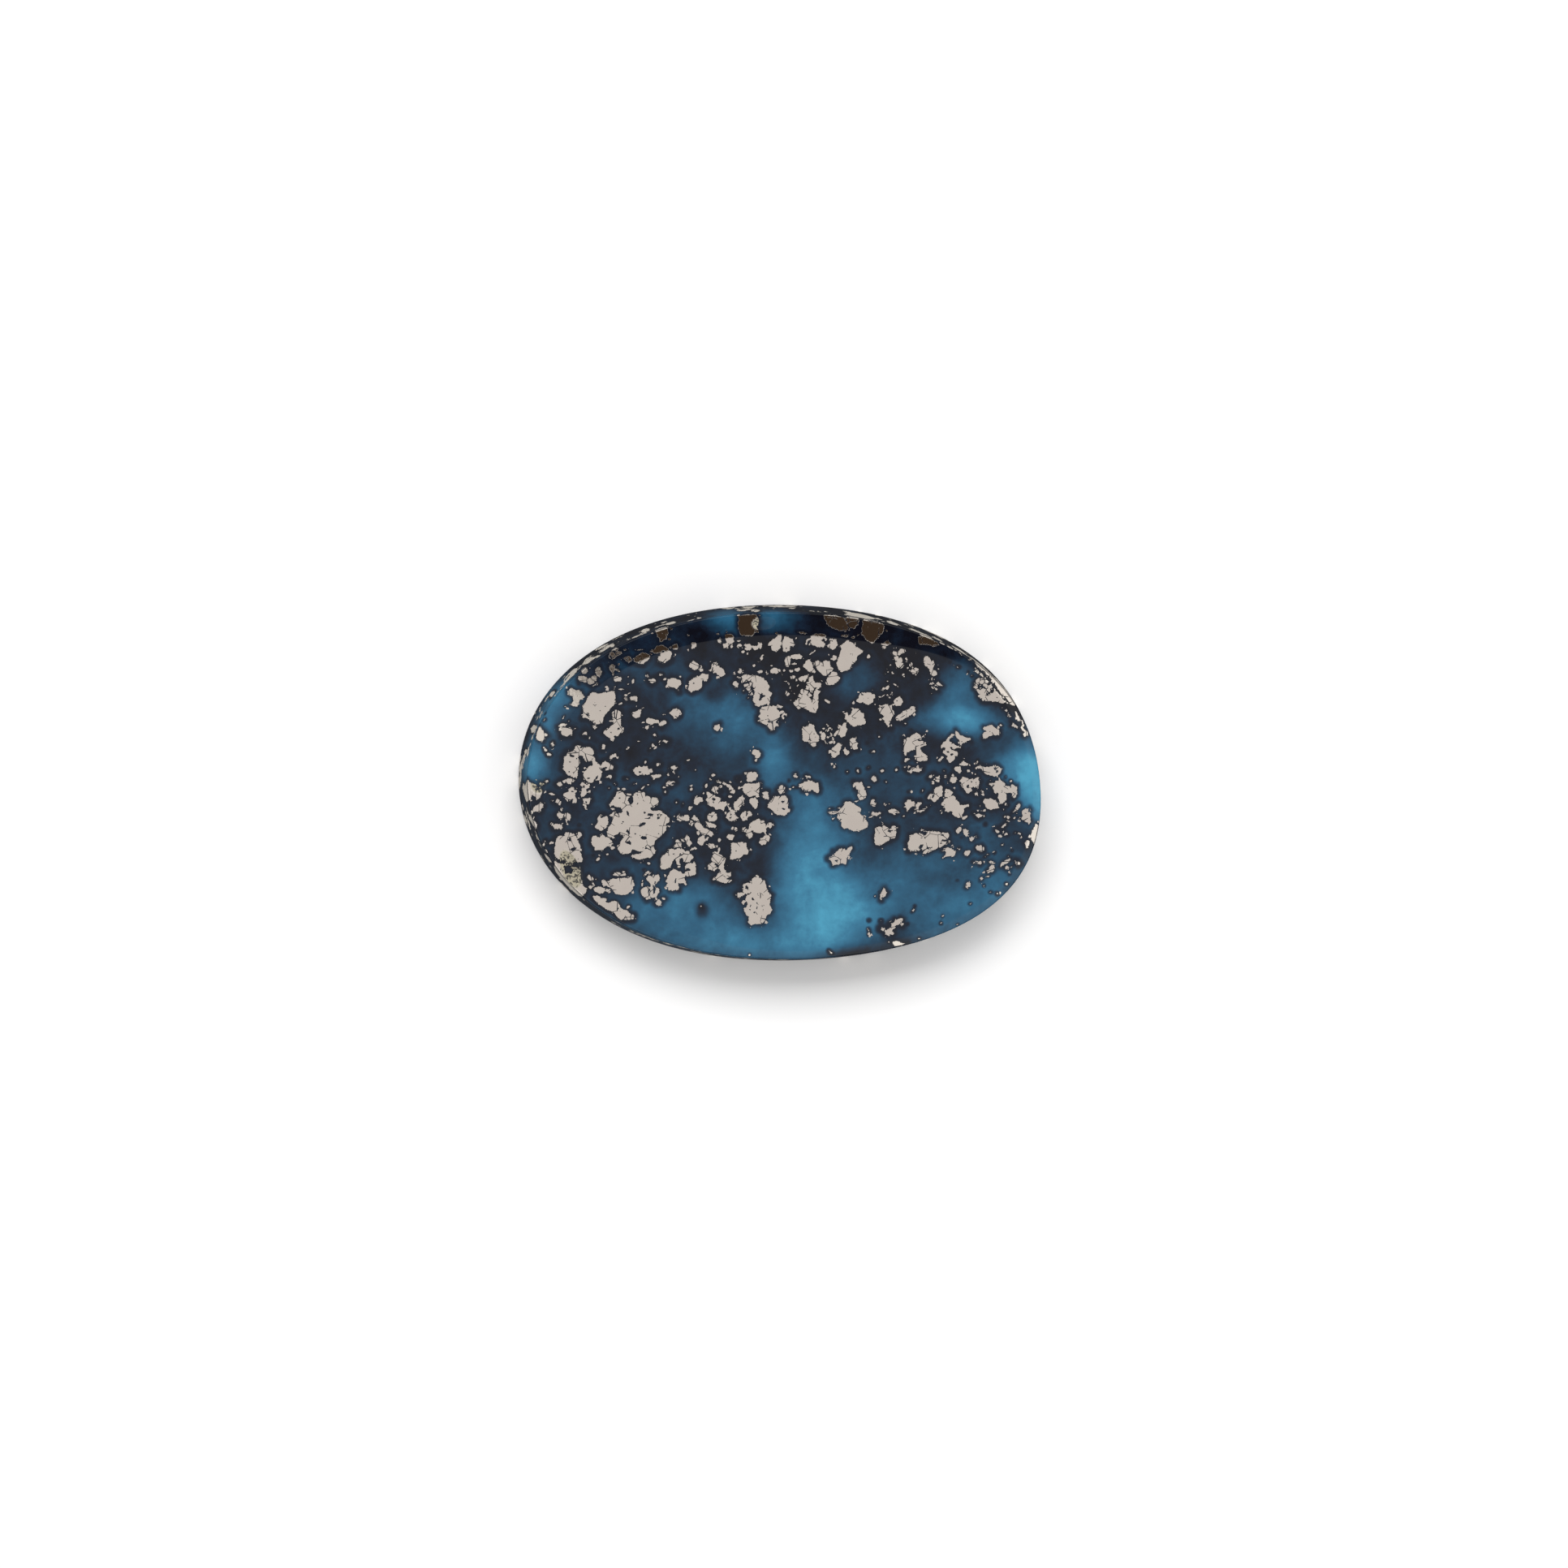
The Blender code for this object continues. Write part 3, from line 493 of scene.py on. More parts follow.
     (12.23, -0.6), (12.2, -0.38), (12.1, -0.26), (12.17, -0.11), (12.14, 0.0), (12.01, 0.01),
     (11.97, -0.08), (11.9, 0.04), (11.86, 0.21), (11.76, 0.36)),
    ((11.28, -0.46), (11.39, -0.35), (11.52, -0.36), (11.69, -0.4), (11.73, -0.3), (11.84, -0.39),
     (11.98, -0.44), (12.09, -0.6), (12.22, -0.84), (12.1, -0.92), (11.9, -0.91), (11.73, -0.98),
     (11.49, -0.89), (11.43, -0.69), (11.3, -0.55)),
    ((8.49, 0.21), (8.71, 0.24), (8.9, 0.32), (8.94, 0.07), (8.93, -0.29), (8.78, -0.34), (8.66, -0.49),
     (8.53, -0.7), (8.43, -0.61), (8.32, -0.5), (8.15, -0.5), (8.1, -0.38), (8.19, -0.21), (8.31, -0.16),
     (8.46, -0.18), (8.5, -0.06)),
    ((9.08, 0.13), (9.2, 0.14), (9.33, 0.08), (9.5, 0.02), (9.53, -0.07), (9.44, -0.22), (9.37, -0.32),
     (9.2, -0.35), (9.07, -0.26), (9.07, -0.04)),
    # the big cluster at the lower left and the grains round it
    ((-9.85, -1.12), (-9.69, -0.87), (-9.58, -0.62), (-9.37, -0.56), (-9.11, -0.68), (-9.08, -0.85),
     (-8.98, -0.7), (-8.8, -0.69), (-8.77, -0.84), (-8.92, -0.96), (-8.98, -1.08), (-8.85, -1.3),
     (-8.7, -1.3), (-8.61, -1.13), (-8.67, -0.91), (-8.67, -0.76), (-8.34, -0.54), (-8.03, -0.6),
     (-7.99, -0.84), (-7.75, -0.79), (-7.56, -0.97), (-7.51, -0.83), (-7.36, -0.89), (-7.23, -1.11),
     (-7.3, -1.3), (-7.44, -1.4), (-7.7, -1.46), (-7.6, -1.6), (-7.48, -1.65), (-7.14, -1.61),
     (-6.9, -1.73), (-6.75, -1.82), (-6.72, -1.94), (-6.57, -2.03), (-6.55, -2.18), (-6.63, -2.3),
     (-6.75, -2.33), (-6.7, -2.47), (-6.74, -2.71), (-6.95, -2.96), (-7.18, -3.17), (-7.37, -3.34),
     (-7.39, -3.56), (-7.55, -3.71), (-7.94, -3.75), (-8.03, -3.92), (-8.27, -3.96), (-8.49, -3.86),
     (-8.6, -3.88), (-8.75, -4.11), (-9.15, -4.14), (-9.38, -3.94), (-9.5, -3.68), (-9.25, -3.57),
     (-9.3, -3.45), (-9.14, -3.23), (-9.03, -3.04), (-9.39, -3.03), (-9.63, -3.08), (-9.68, -3.25),
     (-9.82, -3.2), (-10.02, -3.14), (-10.05, -2.9), (-10.0, -2.61), (-9.85, -2.5), (-9.8, -2.21),
     (-9.79, -2.02), (-9.98, -1.97), (-9.84, -1.82), (-9.68, -1.75), (-9.7, -1.45), (-9.78, -1.35),
     (-9.95, -1.49), (-10.0, -1.34)),
    ((-8.55, -4.25), (-8.53, -4.08), (-8.27, -4.1), (-8.03, -4.04), (-7.95, -3.84), (-7.67, -3.79),
     (-7.41, -3.7), (-7.28, -3.9), (-7.35, -4.12), (-7.54, -4.27), (-7.92, -4.34), (-8.16, -4.41),
     (-8.48, -4.37)),
    ((-14.47, -2.29), (-14.28, -2.33), (-14.13, -2.47), (-14.02, -2.68), (-14.07, -2.85), (-14.23, -3.03),
     (-14.31, -2.86), (-14.8, -2.9), (-15.6, -2.7), (-15.2, -2.3)),
    ((-12.93, -2.04), (-12.84, -1.9), (-12.55, -1.96), (-12.35, -1.88), (-12.2, -1.97), (-12.15, -2.16),
     (-12.22, -2.31), (-12.34, -2.29), (-12.46, -2.1), (-12.56, -2.1), (-12.68, -2.3), (-12.85, -2.21)),
    ((-13.15, -2.66), (-12.96, -2.53), (-12.6, -2.61), (-12.58, -2.71), (-12.66, -2.87), (-12.78, -2.78),
     (-12.98, -2.86), (-13.1, -2.77)),
    ((-12.89, -3.33), (-12.7, -3.22), (-12.5, -3.19), (-12.45, -3.07), (-12.27, -2.99), (-11.93, -3.08),
     (-11.8, -3.24), (-11.68, -3.48), (-11.57, -3.77), (-11.55, -4.1), (-11.48, -4.3), (-11.4, -4.49),
     (-11.44, -4.68), (-11.88, -4.7), (-12.0, -4.82), (-12.26, -4.8), (-12.41, -4.69), (-12.65, -4.65),
     (-12.85, -4.48), (-12.98, -4.3), (-12.99, -3.96), (-12.93, -3.57)),
    ((-11.81, -3.03), (-11.69, -2.95), (-11.53, -3.0), (-11.5, -3.14), (-11.61, -3.34), (-11.69, -3.31)),
    ((-10.92, -3.51), (-10.91, -3.22), (-10.76, -3.14), (-10.6, -3.18), (-10.49, -3.3), (-10.47, -3.11),
     (-10.33, -3.03), (-10.18, -3.19), (-9.99, -3.23), (-9.77, -3.4), (-9.71, -3.57), (-9.88, -3.69),
     (-10.12, -3.77), (-10.3, -4.0), (-10.74, -3.96), (-10.75, -3.79), (-10.92, -3.65)),
    ((-10.76, -2.58), (-10.62, -2.39), (-10.63, -2.1), (-10.51, -1.95), (-10.22, -1.91), (-10.02, -2.1),
     (-10.04, -2.46), (-10.15, -2.66), (-10.39, -2.88), (-10.53, -2.82), (-10.73, -2.7)),
    ((-9.7, -5.57), (-9.14, -5.51), (-8.56, -5.44), (-8.53, -5.61), (-8.43, -5.8), (-8.52, -6.14),
     (-8.73, -6.39), (-9.11, -6.48), (-9.45, -6.39), (-9.73, -6.11), (-10.0, -5.95), (-10.17, -5.98),
     (-10.27, -5.79), (-10.15, -5.69), (-9.96, -5.68), (-9.85, -5.7)),
    ((-9.68, -5.31), (-9.49, -5.18), (-9.3, -5.18), (-9.12, -5.3), (-9.11, -5.1), (-8.96, -5.14),
     (-8.94, -5.31), (-9.05, -5.38), (-9.39, -5.39)),
    ((-10.7, -6.16), (-10.5, -6.06), (-10.17, -6.05), (-10.04, -6.19), (-10.08, -6.33), (-10.37, -6.45),
     (-10.59, -6.35)),
    ((-11.13, -5.5), (-11.0, -5.39), (-10.84, -5.49), (-10.71, -5.61), (-10.82, -5.74), (-11.0, -5.66)),
    ((-10.7, -6.62), (-10.51, -6.54), (-10.27, -6.7), (-9.98, -6.69), (-10.0, -6.94), (-9.73, -6.95),
     (-9.68, -6.83), (-9.44, -6.8), (-9.19, -7.01), (-9.15, -7.2), (-9.0, -7.34), (-8.78, -7.34),
     (-8.6, -7.56), (-8.36, -7.6), (-8.4, -7.84), (-8.67, -7.87), (-8.96, -7.93), (-9.23, -7.82),
     (-9.4, -7.62), (-9.5, -7.48), (-9.86, -7.39), (-10.16, -7.16), (-10.45, -7.0), (-10.63, -6.79)),
    ((-12.95, -4.63), (-12.7, -4.8), (-12.4, -4.85), (-11.97, -4.94), (-11.62, -5.08), (-11.53, -4.93),
     (-11.48, -5.36), (-11.44, -5.65), (-11.34, -5.87), (-11.35, -6.01), (-11.08, -6.17), (-11.12, -6.37),
     (-11.24, -6.56), (-11.4, -6.8), (-12.2, -7.6), (-13.0, -7.2), (-13.8, -6.2), (-13.3, -5.3),
     (-13.0, -5.03)),
    ((-13.33, -4.6), (-13.2, -4.85), (-13.6, -5.2), (-14.4, -5.3), (-14.3, -4.8), (-13.7, -4.6)),
    ((-5.2, -0.97), (-5.16, -0.83), (-4.89, -0.74), (-4.74, -0.81), (-4.7, -0.98), (-4.86, -1.04),
     (-4.97, -1.16), (-5.07, -1.23), (-5.17, -1.14)),
    # the broken grains of the middle, below the long axis
    ((-4.49, -0.49), (-4.34, -0.46), (-4.19, -0.62), (-4.02, -0.67), (-3.78, -0.76), (-3.67, -0.88),
     (-3.7, -0.97), (-3.4, -0.99), (-3.35, -1.16), (-3.47, -1.3), (-3.51, -1.49), (-3.8, -1.39),
     (-3.97, -1.45), (-4.05, -1.3), (-4.27, -1.26), (-4.39, -1.14), (-4.45, -0.97), (-4.55, -0.92),
     (-4.45, -0.75)),
    ((-2.94, -1.05), (-2.8, -0.9), (-2.68, -0.83), (-2.66, -0.67), (-2.45, -0.62), (-2.34, -0.83),
     (-2.36, -1.17), (-2.45, -1.1), (-2.53, -1.03), (-2.55, -1.23), (-2.64, -1.45), (-2.83, -1.46),
     (-2.96, -1.24)),
    ((-3.33, -1.08), (-3.16, -1.08), (-3.22, -1.2), (-3.08, -1.38), (-2.9, -1.5), (-2.78, -1.45),
     (-2.84, -1.62), (-2.67, -1.95), (-2.9, -2.07), (-3.2, -2.03), (-3.02, -1.65), (-3.12, -1.5),
     (-3.25, -1.3)),
    ((-3.37, -1.86), (-3.26, -1.56), (-3.1, -1.6), (-3.12, -1.78), (-3.22, -1.98)),
    ((-2.58, -1.81), (-2.42, -1.54), (-2.2, -1.46), (-1.98, -1.5), (-1.89, -1.65), (-1.95, -1.77),
     (-2.12, -1.75), (-2.16, -1.97), (-2.4, -2.05)),
    ((-3.29, -2.92), (-3.18, -2.8), (-2.95, -2.84), (-2.84, -2.86), (-2.94, -3.01), (-2.94, -3.13),
     (-3.08, -3.18), (-3.22, -3.07)),
    ((-4.41, -1.92), (-4.41, -1.75), (-4.3, -1.65), (-4.1, -1.61), (-3.91, -1.68), (-3.85, -1.85),
     (-3.92, -2.04), (-4.11, -2.12), (-4.34, -2.07)),
    ((-4.53, -2.16), (-4.41, -2.11), (-4.3, -2.23), (-3.99, -2.24), (-3.9, -2.36), (-3.89, -2.48),
     (-4.2, -2.46), (-4.4, -2.42), (-4.49, -2.3)),
    ((-6.18, -1.92), (-6.02, -1.77), (-5.92, -1.95), (-5.77, -1.96), (-5.73, -1.82), (-5.56, -1.79),
     (-5.43, -1.91), (-5.47, -2.14), (-5.67, -2.12), (-5.86, -2.08), (-5.96, -2.18), (-6.08, -2.08)),
    ((-5.33, -1.97), (-5.17, -1.81), (-5.02, -1.94), (-4.85, -2.13), (-4.89, -2.18), (-5.24, -2.05)),
    ((-5.47, -2.26), (-5.33, -2.09), (-5.22, -2.24), (-5.27, -2.43), (-5.42, -2.36)),
    ((-5.13, -2.28), (-5.04, -2.18), (-4.77, -2.25), (-4.71, -2.36), (-4.56, -2.5), (-4.24, -2.64),
     (-4.05, -2.75), (-4.04, -2.92), (-4.18, -3.02), (-4.33, -2.89), (-4.57, -2.89), (-4.75, -2.8),
     (-4.75, -2.65), (-4.95, -2.66), (-5.08, -2.47)),
    ((-5.04, -2.71), (-4.87, -2.74), (-4.82, -2.9), (-4.94, -2.92)),
    ((-4.93, -3.14), (-4.79, -3.04), (-4.67, -2.92), (-4.55, -2.99), (-4.51, -3.23), (-4.6, -3.52),
     (-4.75, -3.5), (-4.88, -3.36)),
    ((-4.49, -3.37), (-4.34, -3.44), (-4.24, -3.36), (-3.98, -3.38), (-3.95, -3.6), (-4.08, -3.72),
     (-4.23, -3.6)),
    ((-4.03, -3.89), (-3.86, -3.84), (-3.64, -3.98), (-3.47, -4.09), (-3.3, -4.24), (-3.39, -4.31),
     (-3.29, -4.43), (-3.41, -4.5), (-3.33, -4.62), (-3.44, -4.7), (-3.24, -4.91), (-3.26, -5.03),
     (-3.14, -5.05), (-2.95, -4.97), (-2.92, -5.12), (-3.04, -5.29), (-3.18, -5.29), (-3.43, -5.15),
     (-3.56, -4.97), (-3.66, -4.75), (-3.69, -4.56), (-3.82, -4.49), (-4.01, -4.42), (-4.12, -4.23),
     (-4.05, -4.09)),
    ((-4.3, -4.53), (-4.01, -4.47), (-3.91, -4.57), (-3.75, -4.73), (-3.8, -4.87), (-3.95, -4.96),
     (-4.24, -4.82)),
    ((-4.0, -5.37), (-3.91, -5.27), (-3.75, -5.24), (-3.68, -5.0), (-3.6, -5.04), (-3.46, -5.23),
     (-3.18, -5.39), (-2.88, -5.43), (-3.03, -5.53), (-3.34, -5.6), (-3.61, -5.55), (-3.78, -5.42),
     (-3.95, -5.46)),
    ((-3.03, -3.33), (-2.62, -3.29), (-2.45, -3.24), (-2.14, -3.3), (-2.15, -3.47), (-2.0, -3.73),
     (-2.02, -3.92), (-2.26, -3.96), (-2.54, -4.16), (-3.05, -4.27), (-3.07, -4.1), (-2.96, -3.91),
     (-2.99, -3.57)),
    ((-2.06, -2.53), (-2.01, -2.19), (-1.72, -2.0), (-1.5, -1.87), (-1.38, -1.97), (-1.21, -1.97),
     (-1.11, -2.16), (-1.05, -2.42), (-1.03, -2.74), (-1.14, -2.74), (-1.21, -2.65), (-1.46, -2.71),
     (-1.7, -2.66), (-1.9, -2.59), (-1.77, -2.88), (-2.01, -3.04), (-2.13, -2.92), (-2.21, -2.67),
     (-2.43, -2.61), (-2.44, -2.44), (-2.27, -2.42), (-2.14, -2.58)),
    ((-1.04, -2.18), (-0.8, -2.07), (-0.72, -2.24), (-0.81, -2.43), (-0.98, -2.33)),
    ((-1.42, -3.14), (-1.3, -3.0), (-1.13, -2.84), (-0.87, -2.81), (-0.83, -3.12), (-1.02, -3.2),
     (-1.04, -3.35), (-1.31, -3.37), (-1.41, -3.26)),
    ((-2.03, -0.75), (-1.8, -0.72), (-1.57, -0.81), (-1.56, -1.05), (-1.65, -1.3), (-1.75, -1.32),
     (-1.98, -1.06), (-2.06, -0.93)),
    ((-0.99, -1.23), (-0.98, -0.99), (-0.8, -0.82), (-0.65, -0.54), (-0.46, -0.61), (-0.07, -0.52),
     (0.1, -0.69), (0.16, -1.0), (0.12, -1.29), (0.32, -1.26), (0.3, -1.36), (0.02, -1.66), (-0.35, -1.63),
     (-0.57, -1.58), (-0.75, -1.37)),
    # the lower middle
    ((-6.97, -4.32), (-6.86, -4.1), (-6.67, -4.02), (-6.58, -3.82), (-6.39, -3.75), (-6.14, -3.81),
     (-6.0, -3.71), (-5.71, -3.73), (-5.6, -3.89), (-5.51, -3.82), (-5.36, -3.88), (-5.31, -4.03),
     (-5.16, -4.08), (-5.13, -4.26), (-5.35, -4.39), (-5.49, -4.49), (-5.63, -4.49), (-5.7, -4.3),
     (-5.95, -4.28), (-5.87, -4.63), (-5.86, -4.84), (-5.96, -4.8), (-6.12, -4.44), (-6.17, -4.3),
     (-6.31, -4.45), (-6.4, -4.81), (-6.73, -4.94), (-6.95, -4.9)),
    ((-6.32, -3.67), (-6.15, -3.48), (-6.16, -3.28), (-6.02, -3.21), (-5.84, -3.37), (-5.79, -3.61),
     (-6.1, -3.63)),
    ((-5.64, -3.12), (-5.54, -2.92), (-5.4, -3.11), (-5.26, -3.4), (-5.37, -3.62), (-5.55, -3.45)),
    ((-5.58, -4.67), (-5.44, -4.54), (-5.24, -4.56), (-5.08, -4.46), (-4.97, -4.65), (-4.94, -5.03),
     (-4.98, -5.2), (-5.17, -5.24), (-5.41, -5.31), (-5.56, -5.2), (-5.57, -5.03)),
    ((-6.44, -5.08), (-6.25, -4.88), (-6.05, -4.95), (-5.81, -5.04), (-5.73, -5.16), (-5.59, -5.2),
     (-5.54, -5.68), (-6.03, -5.7), (-5.88, -5.93), (-5.9, -6.06), (-6.45, -6.12), (-6.48, -5.92),
     (-6.65, -5.93), (-6.51, -5.69), (-6.71, -5.58), (-6.57, -5.45), (-6.72, -5.38), (-6.53, -5.28)),
    ((-7.78, -5.51), (-7.6, -5.21), (-7.48, -5.09), (-7.36, -5.25), (-7.18, -5.3), (-7.12, -5.15),
     (-6.99, -5.39), (-7.03, -5.63), (-7.24, -5.8), (-7.48, -5.84), (-7.68, -5.6)),
    # the lower right
    ((2.42, -1.41), (2.5, -1.32), (2.58, -1.38), (2.62, -1.44), (2.72, -1.34), (2.76, -1.48),
     (2.58, -1.53)),
    ((2.53, -4.04), (2.72, -3.91), (2.82, -3.91), (2.81, -3.64), (2.91, -3.74), (3.05, -3.57),
     (3.15, -3.46), (3.46, -3.43), (3.52, -3.62), (3.58, -3.45), (3.87, -3.27), (3.9, -3.44), (3.74, -3.69),
     (3.73, -3.9), (3.6, -3.82), (3.61, -4.15), (3.54, -4.33), (3.37, -4.28), (3.03, -4.34), (2.79, -4.44),
     (2.77, -4.32), (2.74, -4.18)),
    # the right half, below the long axis
    ((3.36, -0.8), (3.66, -0.73), (3.81, -0.81), (4.02, -0.98), (4.17, -1.02), (4.31, -1.14), (4.31, -1.26),
     (4.26, -1.41), (4.29, -1.53), (4.46, -1.55), (4.55, -1.66), (4.63, -1.8), (4.73, -1.95), (4.74, -2.12),
     (4.66, -2.24), (4.4, -2.33), (4.3, -2.42), (4.17, -2.49), (4.04, -2.43), (3.72, -2.35), (3.57, -2.23),
     (3.42, -2.29), (3.28, -2.24), (3.19, -2.14), (3.25, -2.02), (3.17, -1.88), (3.02, -1.78),
     (2.99, -1.66), (3.05, -1.39), (3.14, -1.17), (3.33, -1.02)),
    ((4.9, -0.55), (5.07, -0.57), (5.05, -0.71), (5.17, -0.82), (5.17, -0.92), (5.03, -0.99), (4.78, -0.85),
     (4.87, -0.71)),
    ((4.97, -1.3), (5.27, -1.33), (5.5, -1.34), (5.34, -1.43), (5.17, -1.54), (5.07, -1.46), (4.86, -1.46)),
    ((5.89, -1.15), (6.11, -1.1), (6.28, -1.12), (6.37, -1.2), (6.45, -1.17), (6.45, -1.27), (6.37, -1.32),
     (6.24, -1.27), (6.28, -1.4), (6.22, -1.41), (6.1, -1.34), (5.93, -1.3)),
    ((6.99, -0.55), (7.14, -0.55), (7.23, -0.75), (7.28, -0.65), (7.41, -0.69), (7.34, -0.92),
     (7.22, -0.88), (7.06, -1.06), (6.99, -1.21), (6.93, -1.18), (6.88, -0.93), (6.82, -0.79),
     (6.87, -0.65)),
    ((7.53, -0.7), (7.68, -0.63), (7.75, -0.69), (7.73, -0.82), (7.62, -0.82), (7.59, -0.92), (7.62, -1.06),
     (7.55, -1.2), (7.45, -1.14), (7.3, -1.13), (7.45, -1.04), (7.47, -0.95), (7.42, -0.85)),
    ((8.05, -0.91), (8.08, -1.0), (7.91, -1.14), (7.77, -1.26), (7.65, -1.25), (7.65, -1.18),
     (7.96, -0.98)),
    ((8.9, -0.73), (8.97, -0.57), (9.13, -0.41), (9.42, -0.3), (9.57, -0.23), (9.67, -0.3), (9.72, -0.44),
     (9.9, -0.61), (9.96, -0.76), (10.25, -0.73), (10.4, -0.69), (10.51, -0.75), (10.5, -0.88),
     (10.28, -0.87), (10.16, -0.95), (10.22, -1.12), (10.15, -1.29), (10.06, -1.44), (9.86, -1.47),
     (9.69, -1.38), (9.52, -1.29), (9.54, -1.14), (9.41, -1.12), (9.28, -1.28), (9.22, -1.15),
     (9.13, -1.13), (9.11, -1.01), (9.0, -0.89)),
    ((10.73, -1.17), (10.9, -1.21), (11.1, -1.22), (11.25, -1.32), (11.23, -1.42), (11.06, -1.47),
     (10.94, -1.39), (10.81, -1.25)),
    ((5.18, -2.25), (5.29, -2.1), (5.42, -2.17), (5.71, -2.06), (5.88, -2.15), (5.92, -2.27), (5.84, -2.32),
     (6.01, -2.45), (6.1, -2.6), (6.16, -2.55), (6.06, -2.43), (6.19, -2.38), (6.05, -2.26), (6.12, -2.15),
     (6.17, -2.04), (6.29, -2.07), (6.38, -2.19), (6.35, -2.5), (6.33, -2.7), (6.19, -2.78), (6.05, -2.75),
     (5.77, -2.67), (6.0, -2.79), (5.98, -2.93), (5.81, -2.99), (5.48, -3.21), (5.25, -3.18), (5.15, -2.99),
     (5.13, -2.69), (5.18, -2.45)),
    ((7.16, -2.53), (7.28, -2.56), (7.47, -2.43), (7.62, -2.47), (7.74, -2.4), (7.87, -2.51), (8.01, -2.78),
     (8.08, -2.46), (8.23, -2.38), (8.05, -2.3), (8.15, -2.27), (8.54, -2.32), (9.39, -2.38), (9.4, -2.54),
     (9.33, -2.71), (9.16, -2.79), (9.24, -2.88), (9.22, -3.03), (9.08, -3.16), (8.81, -3.21),
     (8.57, -3.37), (8.43, -3.38), (8.33, -3.52), (8.14, -3.59), (7.97, -3.57), (8.09, -3.33), (8.4, -3.32),
     (8.43, -3.22), (8.3, -3.17), (8.08, -3.23), (7.94, -3.42), (7.87, -3.41), (7.98, -3.04), (7.83, -3.05),
     (7.69, -3.22), (7.74, -3.39), (7.65, -3.5), (7.51, -3.47), (7.45, -3.31), (7.26, -3.5), (7.14, -3.5),
     (7.05, -3.0), (7.12, -2.88)),
    ((9.28, -2.85), (9.38, -2.73), (9.53, -2.91), (9.34, -2.99)),
    ((9.01, -3.4), (9.13, -3.25), (9.3, -3.19), (9.47, -3.22), (9.65, -3.33), (9.83, -3.45), (9.78, -3.62),
     (9.66, -3.73), (9.51, -3.65), (9.32, -3.7), (9.24, -3.58), (9.28, -3.43)),
    ((9.75, -2.15), (9.91, -2.05), (10.0, -1.97), (10.1, -2.07), (10.11, -2.19), (9.99, -2.37),
     (9.84, -2.35)),
    ((10.2, -2.14), (10.39, -2.09), (10.45, -2.23), (10.58, -2.37), (10.48, -2.4), (10.44, -2.54),
     (10.32, -2.52), (10.26, -2.38)),
    ((10.53, -2.59), (10.75, -2.56), (10.83, -2.65), (10.78, -2.79), (10.66, -2.81), (10.59, -2.73)),
    ((10.87, -2.47), (10.96, -2.43), (11.03, -2.58), (10.89, -2.55)),
    ((10.94, -3.19), (11.01, -3.07), (11.2, -3.07), (11.28, -3.02), (11.43, -3.17), (11.47, -3.37),
     (11.29, -3.4), (11.12, -3.3), (10.99, -3.28)),
    ((10.32, -3.42), (10.48, -3.33), (10.68, -3.39), (10.64, -3.53), (10.52, -3.68), (10.4, -3.65),
     (10.32, -3.57)),
    ((9.85, -3.24), (9.97, -3.15), (10.09, -3.21), (10.02, -3.36), (9.9, -3.34)),
    ((12.69, -1.65), (12.67, -1.78), (12.51, -2.0), (12.38, -1.95), (12.49, -1.85)),
    ((12.19, -2.01), (12.22, -2.13), (12.31, -2.2), (12.2, -2.32), (12.03, -2.18), (12.07, -2.1),
     (12.13, -2.17)),
    ((12.48, -2.1), (12.55, -2.17), (12.54, -2.29), (12.62, -2.38), (12.54, -2.44), (12.49, -2.32)),
    ((12.73, -2.28), (12.81, -2.38), (12.74, -2.44), (12.66, -2.38)),
    ((12.68, -1.31), (12.82, -1.33), (12.83, -1.41), (12.73, -1.52)),
    ((13.33, -0.55), (13.43, -0.59), (13.43, -0.73), (13.25, -1.02), (12.99, -1.11), (13.14, -0.95),
     (13.22, -0.78)),
    ((13.75, -0.85), (13.88, -0.91), (13.92, -1.03), (14.03, -1.08), (14.02, -1.29), (14.07, -1.46),
     (14.14, -1.58), (14.06, -1.68), (13.97, -1.75), (13.89, -1.62), (13.72, -1.6), (13.49, -1.42),
     (13.61, -1.38), (13.62, -1.24), (13.54, -1.09), (13.59, -0.97)),
    ((13.97, -0.73), (14.12, -0.95), (14.0, -0.97)),
    ((14.39, -1.72), (14.75, -1.9), (14.6, -2.5), (14.4, -2.9), (14.21, -2.68), (14.12, -2.39),
     (14.19, -2.1)),
    ((13.72, -2.81), (13.84, -2.7), (14.04, -2.7), (14.09, -2.84), (14.0, -3.02), (13.91, -3.09),
     (13.83, -2.9)),
    ((13.25, -3.81), (13.47, -3.9), (13.55, -4.01), (13.43, -4.13), (13.31, -4.04)),
    ((12.96, -3.72), (12.98, -3.85), (12.82, -3.98), (12.46, -4.22), (12.36, -4.21), (12.45, -4.02),
     (12.59, -3.88)),
    ((12.7, -4.2), (12.82, -4.13), (12.85, -4.25), (12.95, -4.35), (12.83, -4.39), (12.71, -4.32)),
    ((11.72, -3.92), (11.86, -3.9), (12.1, -4.03), (11.99, -4.08), (11.77, -4.03)),
    ((11.85, -4.14), (12.0, -4.12), (12.11, -4.27), (12.08, -4.42), (11.99, -4.53), (11.8, -4.54),
     (11.7, -4.6), (11.63, -4.53), (11.67, -4.43), (11.93, -4.35), (11.81, -4.28)),
    ((10.75, -3.99), (10.83, -3.89), (10.97, -4.03), (10.94, -4.11), (10.8, -4.08)),
    ((11.11, -4.02), (11.28, -3.93), (11.38, -4.02), (11.31, -4.13), (11.19, -4.17)),
    ((11.29, -4.92), (11.38, -4.81), (11.46, -4.91), (11.41, -5.01), (11.29, -5.03)),
    ((10.59, -5.09), (10.74, -5.21), (10.73, -5.38), (10.58, -5.51), (10.46, -5.45), (10.5, -5.26)),
    ((5.79, -5.63), (5.98, -5.87), (5.89, -6.03), (5.69, -6.18), (5.67, -6.32), (5.59, -6.26),
